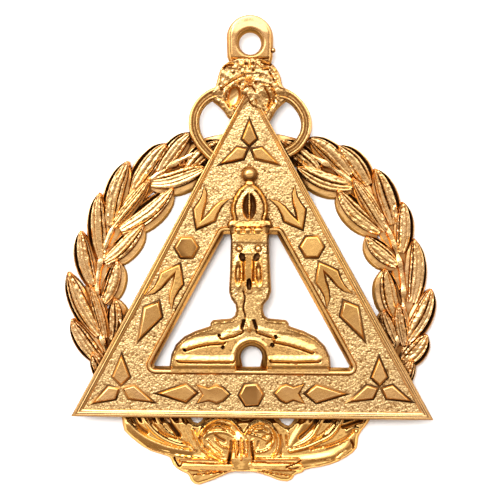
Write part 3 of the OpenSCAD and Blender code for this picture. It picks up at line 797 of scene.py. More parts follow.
def footForm(x, y, edge, grain):
    # two tiers of bars on a rough slope that falls to the base, and the ring round the arch
    z, paintedShades = 5.1 - 0.045 * (-11.3 - y) + 0.045 * grain, []
    z -= 0.12 * unit((-12.7 - y - 0.1 * np.abs(x)) / 0.35)
    for path, high, above, below in stick["footBars"]:
        d = distanceToPath(x, y, path)
        # painted shadow under each bar
        line = bell(d + below + 0.1, 0.13) * (np.abs(d) < below + 0.5)
        z += high * hump(np.abs(d) / np.where(d > 0, above, below)) - 0.2 * line
        paintedShades.append(0.9 * line)
    z += 0.16 * bell(edge - 0.2, 0.14) * (y > -19)
    right, up = x - stick["archMiddle"][0], y - stick["archMiddle"][1]
    away = np.hypot(right, np.maximum(up, 0)) - stick["archRadius"]
    wall = unit(1 - away / stick["archWall"])
    z += 0.22 * bell(away - 0.95, 0.28) * (y > -19.1) - 1.5 * wall**1.2
    nicks = 2 * unit(np.sin(14 * np.arctan2(up, right)) - 0.55) * bell(away - 1.5, 0.35)
    # painted shade on the arch wall and in the nicks, and below in the pits and hollows
    paintedShades += [0.62 * unit(5 * wall), 0.8 * nicks * (y > -17) * (np.abs(x) > 1.9)]
    for at, radius in stick["footPits"]:
        pit = dome(x, y, at, radius, radius)
        z -= 0.5 * pit
        paintedShades.append(unit(2 * pit))
    z += ridge(x, y, [(-0.15, -10.4), (-0.1, -12.9)], 0.4, 0.5) * unit((-10.4 - y) / 2.0)
    for side in (-1, 1):
        hollow = ridge(x, y, [(side * 0.62 - 0.2, -10.6), (side * 1.15 - 0.15, -12.6)], 1.0, 0.42)
        z -= 0.5 * hollow
        paintedShades.append(unit(1.4 * hollow))
    z -= 0.3 * unit((-18.75 - y) / 0.4)
    return z, 0.45 * (y > -14.2) + 0.1, np.max(paintedShades, 0)


def stickForm(x, y, edge):
    grain = castGrain(x, y, 0.3, 0.55, 21)
    z, stipple, paintedShade = np.zeros((3, len(x)))
    high = math.inf
    # lower end of each part, and how far its edge is rounded down
    for low, form, depth in ((4.75, bulbForm, 0.5), (2.62, collarForm, 0.35), (-11.2, columnForm, 0.4),
                             (-math.inf, footForm, 0.35)):
        here = (y > low) & (y <= high)
        z[here], stipple[here], paintedShade[here] = form(x[here], y[here], edge[here], grain[here])
        z[here] -= depth * edgeFall(edge[here], 0.32)
        high = low
    # painted shade as a dark outline along every edge
    return z, painted(stipple, np.maximum(paintedShade, 0.8 * unit(1 - edge / 0.16)))


def addBall(casting, middle, radius, high):
    # plain on top, with painted shade round its sides
    around, angles = np.radians(np.arange(0, 360, 18)), np.radians(np.arange(7.5, 180, 7.5))
    rings = []
    for angle in angles:
        ring = circle(middle, radius * math.sin(angle), around)
        rings.append(level(ring, middle[2] - high * math.cos(angle)))
    paintedShade = np.where(angles > math.pi / 2, unit((np.sin(angles) - 0.38) / 0.2), 1)
    casting.rings(rings, marks=painted(0, 0.75 * np.repeat(paintedShade, len(around))))


def addCandlestick(casting):
    middle, radius, floor = stick["archMiddle"], stick["archRadius"], stick["archFloor"]
    arch = circle(middle, radius, np.radians(np.linspace(-12, 192, 30)))
    arch = np.concatenate([arch, [(middle[0] + side * 0.82 * radius, floor) for side in (-1, 1)]])
    casting.relief(stick["outline"], stickForm, stick["low"], stick["spacing"], stick["draft"], 5, [arch])
    addBall(casting, *stick["ball"])
    casting.bar(stick["neck"], stick["neckHalf"], stick["neckTops"], stick["neckProfile"], stick["neckLow"])


# Crest, scroll loops and eye

crest = {
    "low": 2.68, "face": 4.68, "spacing": 0.13, "draft": 0.15,
    "outline": [
        (-1.86, 30.97), (-2.99, 30.64), (-3.96, 30.08), (-4.61, 29.43), (-4.98, 28.54), (-5.26, 27.41),
        (-5.58, 26.28), (-6.23, 25.31), (-6.06, 24.34), (-5.09, 23.53), (-4.12, 22.56), (-3.31, 21.43),
        (-2.67, 21.91), (-1.7, 23.53), (-0.81, 24.98), (-0.4, 24.5), (0.08, 23.61), (1.05, 22.96),
        (1.86, 22.48), (2.34, 21.91), (2.91, 20.94), (3.48, 21.59), (4.12, 22.72), (5.09, 23.69),
        (6.06, 24.5), (6.39, 25.47), (5.58, 26.11), (5.06, 26.92), (4.85, 28.05), (4.37, 29.11),
        (3.64, 29.91), (2.67, 30.56), (1.54, 30.92), (-0.08, 31.05),
    ],
    # folds and grooves: path, height, and one width or the widths on the left and right
    "folds": [
        ([(-2.67, 30.4), (-3.8, 30.08), (-4.53, 29.35), (-4.85, 28.22), (-4.93, 26.92)], 0.4, 0.291),
        ([(-2.67, 29.91), (-3.8, 29.75), (-4.2, 29.19)], -0.6, 0.194),
        ([(1.54, 30.72), (2.83, 30.48), (3.8, 29.83), (4.37, 28.86), (4.53, 27.73), (4.45, 26.92),
          (4.93, 26.28), (6.23, 25.87)], 0.5, 0.323, 0.291),
        ([(1.86, 30.32), (2.51, 30), (3.4, 29.91)], -0.75, 0.259, 0.226),
        ([(-1.21, 28.22), (-2.02, 27.73), (-3.15, 27.08), (-3.96, 26.52),
          (-4.61, 25.95)], -0.65, 0.194, 0.21),
        ([(-3.48, 29.51), (-2.18, 29.35)], 0.4, 0.291),
        ([(-4.45, 28.54), (-3.8, 28.05), (-2.99, 27.73)], 0.35, 0.647, 0.517),
        ([(-2.18, 29.67), (-2.02, 28.86)], 0.3, 0.259),
        ([(-1.05, 27.57), (-2.02, 27.08), (-2.83, 26.6)], 0.45, 0.291, 0.259),
        ([(-3.31, 26.28), (-3.96, 25.63), (-4.37, 24.66), (-4.2, 23.69)], 0.35, 0.243, 0.21),
        ([(-2.83, 26.44), (-3.48, 25.79), (-3.8, 24.82), (-3.64, 23.85)], -0.5, 0.178),
        ([(-2.18, 26.6), (-3.15, 26.36), (-3.56, 25.47), (-3.72, 24.5), (-3.48, 23.53),
          (-2.99, 22.88)], 0.3, 0.226),
        ([(-1.86, 26.44), (-1.37, 25.63), (-1.37, 24.66), (-1.78, 23.69),
          (-2.51, 22.72)], 0.5, 0.259, 0.291),
        ([(-5.26, 24.34), (-4.12, 23.53), (-3.31, 22.4)], 0.35, 0.485, 0.388),
        ([(-3.96, 24.17), (-3.31, 23.04)], -0.4, 0.194),
        ([(-1.05, 30.48), (-0.89, 29.51)], 0.5, 0.323, 0.291),
        ([(-0.08, 30.72), (-0.08, 29.35)], 0.45, 0.291),
        ([(0.81, 30.48), (0.73, 29.51)], 0.45, 0.291, 0.323),
        ([(-1.86, 30.16), (-1.37, 29.67)], 0.4, 0.259, 0.291),
        ([(1.37, 30), (1.86, 29.51)], 0.45, 0.291, 0.259),
        ([(-1.37, 28.7), (-0.24, 28.54), (1.05, 28.7)], 0.35, 0.323, 0.291),
        ([(-0.65, 27.73), (-0.81, 26.44)], 0.5, 0.21),
        ([(-0.24, 27.89), (-0.27, 26.28)], 0.55, 0.21),
        ([(0.16, 27.81), (0.24, 26.36)], 0.5, 0.21),
        ([(0.57, 27.57), (0.89, 26.76)], 0.4, 0.194),
        ([(-1.05, 25.95), (-0.65, 26.36), (-0.08, 26.44), (0.4, 26.28), (0.89, 25.47)], -0.6, 0.178),
        ([(-0.16, 25.95), (-0.08, 24.98)], 0.35, 0.728),
        ([(2.18, 29.59), (3.31, 29.43), (4.12, 28.54), (4.45, 27.25)], 0.4, 0.275),
        ([(2.1, 29.11), (2.99, 29.14)], -0.65, 0.21),
        ([(3.15, 28.7), (3.64, 27.89), (4.04, 27)], -0.55, 0.162),
        ([(1.37, 28.7), (2.67, 28.38), (3.31, 27.57)], 0.3, 0.323),
        ([(1.21, 27.41), (2.02, 27.25), (2.83, 26.92)], 0.3, 0.55, 0.485),
        ([(1.86, 26.6), (3.31, 26.44)], 0.35, 0.243),
        ([(3.15, 26.76), (3.72, 26.03), (4.2, 24.98)], -0.5, 0.194),
        ([(1.21, 25.14), (1.7, 24.34), (2.18, 23.53)], 0.4, 0.485),
        ([(0.89, 24.34), (1.21, 23.53)], -0.4, 0.21, 0.178),
        ([(2.43, 26.11), (2.99, 25.14), (3.2, 24.17), (2.83, 23.2)], -0.75, 0.243, 0.275),
        ([(3.4, 26.11), (3.77, 24.98), (3.64, 24.01), (3.15, 23.04), (2.67, 22.07)], 0.5, 0.226),
        ([(3.88, 24.82), (3.88, 23.69)], -0.4, 0.162),
        ([(4.61, 24.82), (4.29, 23.69), (3.48, 22.4)], 0.35, 0.291, 0.259),
    ],
    "pits": [
        ((-0.65, 30), 0.31), ((0.49, 30.04), 0.29), ((-1.62, 29.11), 0.27), ((0.53, 29.03), 0.27),
        ((-0.89, 28.12), 0.26), ((1.73, 28.05), 0.31), ((-1.67, 26.79), 0.27), ((0.92, 26.96), 0.29),
        ((-2.59, 28.54), 0.32), ((-1.97, 30.32), 0.29), ((-4.61, 25.95), 0.36), ((2.1, 22.48), 0.42),
        ((-0.4, 24.34), 0.19), ((0.24, 23.85), 0.19),
    ],
    "bowl": ((-2.6, 24.75), 1.6, 0.98, 80),
}
eye = {
    "middle": (-0.03, 34.45), "radius": 3.52, "holeMiddle": (0.02, 33.55), "holeRadius": 2.05,
    "neckY": 30.4, "neck": [(-3.4, 1), (-3.0, 0), (3.2, 0), (3.45, 1)],  # right of the middle, above neckY
    "low": 2.68, "high": 4.8, "spacing": 0.12, "draft": 0.28,
    "nub": ((3.72, 32.3, 3.9), 0.42, 0.4),
}
scrolls = {
    "left": [
        (-4.12, 25.63), (-5.74, 25.31), (-7.03, 24.66), (-8.17, 23.53), (-8.89, 22.07), (-9.09, 20.46),
        (-8.81, 18.84), (-8.09, 17.38), (-7.03, 16.09), (-5.9, 14.96),
    ],
    "right": [
        (3.96, 25.47), (5.42, 25.23), (6.71, 24.66), (7.84, 23.61), (8.73, 22.23), (9.14, 20.78),
        (9.02, 19.16), (8.33, 17.71), (7.36, 16.57), (6.06, 15.77),
    ],
    "width": 1.7, "low": 2.68, "high": 4.35, "pieces": 46, "stipple": 0.35,
    # half the profile, from the right edge in: across, height
    "profile": [
        (-1.05, 0.3), (-0.99, 0.62), (-0.88, 0.82), (-0.72, 0.94), (-0.56, 1), (-0.4, 0.95), (-0.24, 0.84),
    ],
    # painted shade across the profile, darkest at the edges and in the groove's corners
    "paintedShade": [0.9, 0.9, 0.8, 0.3, 0.1, 0, 0.15, 0.8, 0.3, 0.8, 0.15, 0, 0.1, 0.3, 0.8, 0.9, 0.9],
}


def crestForm(x, y, edge):
    up, down = folded(x, y, crest["folds"])
    up, down = 0.65 * up, 0.55 * down
    shoulder = unit((25.6 - y) / 1.2) * unit((np.abs(x - 0.4) - 0.2) / 1.5)
    z = crest["face"] - 0.55 * shoulder + up + down
    pits = np.max([dome(x, y, at, radius, radius) for at, radius in crest["pits"]], 0)
    bowl = dome(x, y, *crest["bowl"])
    plain = bowl <= 0
    grain = castGrain(x, y, 0.24, 0.42, 31)
    z = np.where(plain, z - 0.22 * pits + 0.13 * grain, 4.35 - 0.7 * bowl)
    # painted shade: a little all over, more in the pits, grooves, low grains and at the edge
    paintedShade = 0.07 + np.clip(0.6 * pits - 1.1 * down, 0, 0.8) + 0.6 * unit(1 - edge / 0.2)
    paintedShade += 0.35 * unit(-1.5 * grain - 0.1) * plain
    return z - 0.4 * edgeFall(edge, 0.3), painted(0.55 * plain, unit(paintedShade))


def eyeForm(x, y, edge):
    inner = np.hypot(x - eye["holeMiddle"][0], y - eye["holeMiddle"][1]) - eye["holeRadius"]
    outer = inner > edge + 0.02
    z = eye["high"] - 0.75 * edgeFall(edge, np.where(outer, 0.36, 0.5)) - 0.03 * np.abs(edge - 0.6)
    # the upper part leans to the window by a gentle curve
    t = unit((y - 34.7) / 1.2)
    z -= 0.085 * (1.2 * (t**3 - t**4 / 2) + np.clip(y - 35.9, 0, 3))
    line = bell(edge - 0.4, 0.09) * outer * unit((36.6 - y) / 1.5)
    z -= 0.1 * line + 0.4 * unit((31.15 - y) / 0.35)
    # painted shade: an outline at the edges, along the groove line, and over the lower part
    rim = 0.9 * unit(1 - edge / np.where(outer, 0.14, 0.2))
    paintedShade = np.max([rim, 0.8 * line, 0.34 * unit((36 - y) / 1.5)], 0)
    return z + 0.012 * (valueNoise(x, y, 1.3, 33) - 0.5), painted(0, paintedShade)


def addCrest(casting):
    outline = smoothLoop(crest["outline"], 160)
    casting.relief(outline, crestForm, crest["low"], crest["spacing"], crest["draft"], 6)


def addEye(casting):
    top = circle(eye["middle"], eye["radius"], np.radians(np.linspace(0, 180, 50)))
    neck = [(eye["middle"][0] + right, eye["neckY"] + up) for right, up in eye["neck"]]
    hole = circle(eye["holeMiddle"], eye["holeRadius"], np.radians(np.arange(0, 360, 8)))
    outline = np.concatenate([top, neck])
    casting.relief(outline, eyeForm, eye["low"], eye["spacing"], eye["draft"], 7, [hole])
    addBall(casting, *eye["nub"])


def addScrolls(casting):
    half, pieces = scrolls["profile"], scrolls["pieces"]
    profile = half + [(0, 0.85)] + [(-u, high) for u, high in half[::-1]]
    t = np.linspace(0, 1, pieces)
    width = scrolls["width"] / 2 * (1 + 0.3 * bell(t, 0.16))  # wider where they leave the crest
    marks = painted(scrolls["stipple"], np.tile(scrolls["paintedShade"], pieces))
    for side in ("left", "right"):
        path = smoothRows(scrolls[side], pieces)
        casting.bar(path, width, scrolls["high"] + 0.12 * np.sin(4 * t), profile, scrolls["low"], marks)


# Laurel leaves

wreath = {
    "ringRadius": 25.3, "ringMiddle": (0.0, -7.7),
    # the plain ring behind the leaves: distance from its middle line, height
    "backing": [(-1.8, 0), (1.8, 0), (1.8, 0.7), (1.3, 1.0), (-1.3, 1.0), (-1.8, 0.7)],
    # the beaded stem: how far inside the middle line, half-width, height, then its profile and painted shade
    "stemInside": 0.2, "stemHalf": 0.55, "stemLow": 0.2, "stemTop": 1.8, "stemStipple": 0.5,
    "stemProfile": [(-1.2, 0.1), (-1, 0.6), (-0.6, 0.92), (0, 1), (0.6, 0.92), (1, 0.6), (1.2, 0.1)],
    "stemShade": [0.4, 0.3, 0.1, 0, 0, 0, 0.1, 0.3, 0.4],
    # lean, bend and lift of each kind of leaf, and what lies outside and inside its blade
    "kinds": {
        "outer": (0.1, 0.05, 0.0, "trench", "slope"),
        "inner": (-0.14, -0.05, -0.1, "trench", "skirt"),
        "middle": (0.0, 0.0, 0.12, "slope", "slope"),
    },
    # each leaf: base, tip, width, kind
    "left": [
        ((-23.9, -18.3), (-29.1, -11.2), 3.6, "outer"), ((-24.7, -13.9), (-29.7, -3.5), 3.6, "outer"),
        ((-25.7, -5.8), (-27.6, 3.2), 3.4, "outer"), ((-24.2, -1.4), (-24.5, 9.4), 3.6, "outer"),
        ((-22.9, 4.0), (-19.8, 14.6), 3.9, "outer"), ((-19.0, 10.0), (-13.6, 17.4), 3.9, "outer"),
        ((-14.9, 12.6), (-9.4, 19.2), 3.6, "outer"), ((-22.4, -14.8), (-22.1, -7.9), 3.3, "inner"),
        ((-23.9, -8.6), (-21.6, -1.7), 3.3, "inner"), ((-23.7, -2.0), (-17.4, 4.2), 3.6, "inner"),
        ((-21.1, 3.2), (-12.5, 10.2), 3.9, "inner"), ((-16.2, 11.0), (-7.1, 13.6), 4.2, "inner"),
        ((-23.6, -14.4), (-26.0, -5.6), 2.3, "middle"), ((-22.4, 3.8), (-16.2, 11.7), 2.6, "middle"),
        ((-21.4, -22.6), (-25.7, -16.7), 3.6, "outer"), ((-21.1, -21.3), (-21.4, -13.9), 3.3, "inner"),
        ((-10.4, 13.0), (-4.5, 17.8), 3.6, "outer"),
    ],
    "right": [
        ((24.9, -18.7), (28.9, -13.8), 3.9, "outer"), ((25.8, -14.8), (29.6, -6.3), 3.9, "outer"),
        ((26.5, -8.6), (26.7, 1.9), 3.6, "outer"), ((24.7, -0.4), (24.9, 7.9), 3.3, "outer"),
        ((23.4, 4.2), (20.3, 13.3), 3.9, "outer"), ((19.5, 10.7), (14.4, 17.0), 3.9, "outer"),
        ((16.4, 12.3), (9.5, 18.3), 3.9, "outer"), ((24.0, -15.6), (21.8, -9.9), 3.3, "inner"),
        ((24.2, -11.2), (22.1, -3.0), 3.9, "inner"), ((24.0, -2.5), (19.0, 2.2), 3.6, "inner"),
        ((21.3, 3.0), (14.3, 9.9), 3.9, "inner"), ((16.7, 10.4), (7.7, 13.6), 4.2, "inner"),
        ((22.2, 3.2), (16.7, 11.8), 2.8, "middle"), ((25.2, -15.6), (24.2, -8.7), 2.9, "middle"),
        ((22.9, -23.2), (26.5, -17.7), 3.6, "outer"), ((22.1, -22.1), (20.9, -15.6), 3.3, "inner"),
        ((11.2, 12.6), (5.0, 17.8), 3.6, "outer"),
    ],
}
leaf = {
    "tipHeight": 2.5, "baseHeight": 1.8, "channel": 0.2, "pointsAlong": 44, "lowest": 0.03,
    "grooves": (-0.39, 0, 0.39), "depths": (0.1, 0.45, 1.3),
    # along a leaf: place, half-width share, height share, channel share
    "form": [
        (0, 0.5, 0, 0), (0.12, 0.76, 0.16, 0.5), (0.3, 0.96, 0.46, 1), (0.48, 1, 0.7, 1),
        (0.64, 0.93, 0.87, 1), (0.78, 0.76, 0.97, 0.9), (0.88, 0.52, 1, 0.65), (0.95, 0.28, 0.98, 0.25),
        (1, 0.05, 0.84, 0),
    ],
    # across half a leaf: place, height lost, of which by the channels, painted shade
    "blade": [
        (0.56, 0, 0, 0), (0.49, 0.01, 0, 0), (0.44, 0.03, 0.3, 0.2), (0.39, 0.05, 0.9, 1),
        (0.34, 0.04, 0.5, 0.3), (0.27, 0.02, 0.1, 0), (0.2, 0.015, 0, 0), (0.13, 0.02, 0.1, 0),
        (0.07, 0.035, 0.5, 0.4), (0, 0.045, 0.9, 0.9),
    ],
    # beside the blade: a trench with painted shade inside a thin rim, or a plain slope
    "trench": [
        (1.1, 0.97, 0, 0.8), (1.06, 0.65, 0, 0.6), (1.02, 0.4, 0, 0.2), (0.98, 0.3, 0, 0),
        (0.93, 0.28, 0, 0), (0.885, 0.31, 0, 0.4), (0.84, 0.44, 0, 1), (0.77, 0.47, 0, 1),
        (0.71, 0.42, 0, 1), (0.67, 0.2, 0, 0.7), (0.63, 0.04, 0, 0.1),
    ],
    "slope": [
        (1.13, 0.97, 0, 0.9), (1.09, 0.75, 0, 0.9), (1.04, 0.44, 0, 0.8), (0.98, 0.31, 0, 0.1),
        (0.92, 0.29, 0, 0), (0.84, 0.265, 0, 0), (0.78, 0.245, 0, 0.1), (0.745, 0.235, 0, 0.5),
        (0.71, 0.22, 0, 1), (0.67, 0.1, 0, 0.6), (0.63, 0.02, 0, 0),
    ],
}
leaf["skirt"] = [(u if u < 0.78 else 0.78 + 1.7 * (u - 0.78), *row) for u, *row in leaf["slope"]]  # wider


def addLeaf(casting, base, tip, width, lean, bend, lift, sides, seed):
    rng = np.random.default_rng(seed)
    t, breadth, rise, carved = smoothRows(leaf["form"], leaf["pointsAlong"]).T[:, :, None]
    along = np.subtract(tip, base)
    path = base + t * along + 4 * t * (1 - t) * (bend * np.array([-along[1], along[0]]))
    half = np.clip(breadth, 0.04, 1) * width / 2
    tops = leaf["baseHeight"] + (leaf["tipHeight"] - leaf["baseHeight"]) * rise + lift
    # each blade has its own three grooves
    depth = leaf["channel"] * rng.uniform(0.75, 1.2)
    shift, wander, beaded = rng.uniform(-0.14, 0.14), rng.uniform(0, 6), rng.choice((-1, 1))
    grooves, own = np.array(leaf["grooves"]), rng.permutation(leaf["depths"])
    leftRows, rightRows = (side + leaf["blade"] for side in sides)
    across = np.array([(-u, *row) for u, *row in rightRows] + leftRows[-2::-1], float)
    place, fall, channel, paintedShade = across.T
    away = place[:, None] - grooves
    share = np.where(np.abs(place) < 0.58, own[np.abs(away).argmin(1)], 1)
    channel, paintedShade = channel * share, paintedShade * share
    place = place + (rng.uniform(-0.09, 0.09, 3) * bell(away, 0.15)).sum(1)
    # its face, point by point
    u = place + (shift + 0.05 * np.sin(6 * t + wander)) * (1 - place**2).clip(0)
    onBlade = np.abs(u) < 0.66
    crown = 0.11 * unit(np.abs(u) / 0.62) ** 2 * carved
    lost = (fall + crown) * (tops - 0.1) + channel * depth * carved * np.minimum(1, half / 1.1)
    grain = valueNoise(path[:, :1] + u * half + seed, path[:, 1:] + u * half * 0.3, 0.24, seed) - 0.5
    rough = np.where(beaded * u > 0.25, 0.34, 0.16) * grain * onBlade + lean * u * half
    z = np.maximum(tops - lost + rough * (1 - fall), leaf["lowest"])
    # how much painted shade shows: less toward the base and tip, more in the low grains of the blade
    sideShown = np.minimum(np.minimum(1, 0.25 + 3 * t), 12 * (1 - t))
    shown = np.where(np.abs(u) > 0.6, sideShown, 0.95 * carved - 0.9 * grain)
    marks = np.zeros((len(t), len(place) + 2, 2))
    marks[:, 1:-1] = np.stack([0.5 * onBlade * carved, paintedShade * unit(shown)], 2)
    casting.bar(path, half[:, 0], tops[:, 0], np.stack([u, z / tops], 2), 0.0, marks.reshape(-1, 2))


def addWreath(casting):
    around, middle = np.radians(np.arange(0, 360, 3)), wreath["ringMiddle"]
    rings = [level(circle(middle, wreath["ringRadius"] + away, around), z) for away, z in wreath["backing"]]
    casting.rings(rings[::-1], closed=True)
    for first, last in ((-38, 74), (106, 222)):
        turns = np.radians(np.arange(first, last, 0.45))
        path = circle(middle, wreath["ringRadius"] - wreath["stemInside"], turns)
        beads = 0.08 * np.sin(turns * 61) + 0.1 * np.sin(turns * 37)
        marks = painted(wreath["stemStipple"], np.tile(wreath["stemShade"], len(path)))
        half, top = wreath["stemHalf"] + beads, wreath["stemTop"] + beads
        casting.bar(path, half, top, wreath["stemProfile"], wreath["stemLow"], marks)
    seed = 40
    for branch, sign in (("left", 1), ("right", -1)):
        for base, tip, width, kind in wreath[branch]:
            seed += 1
            lean, bend, lift, outside, inside = wreath["kinds"][kind]
            sides = [leaf[outside], leaf[inside]][::sign]
            addLeaf(casting, base, tip, width, lean * sign, bend * sign, lift, sides, seed)


# Lower leaves, volutes and bow

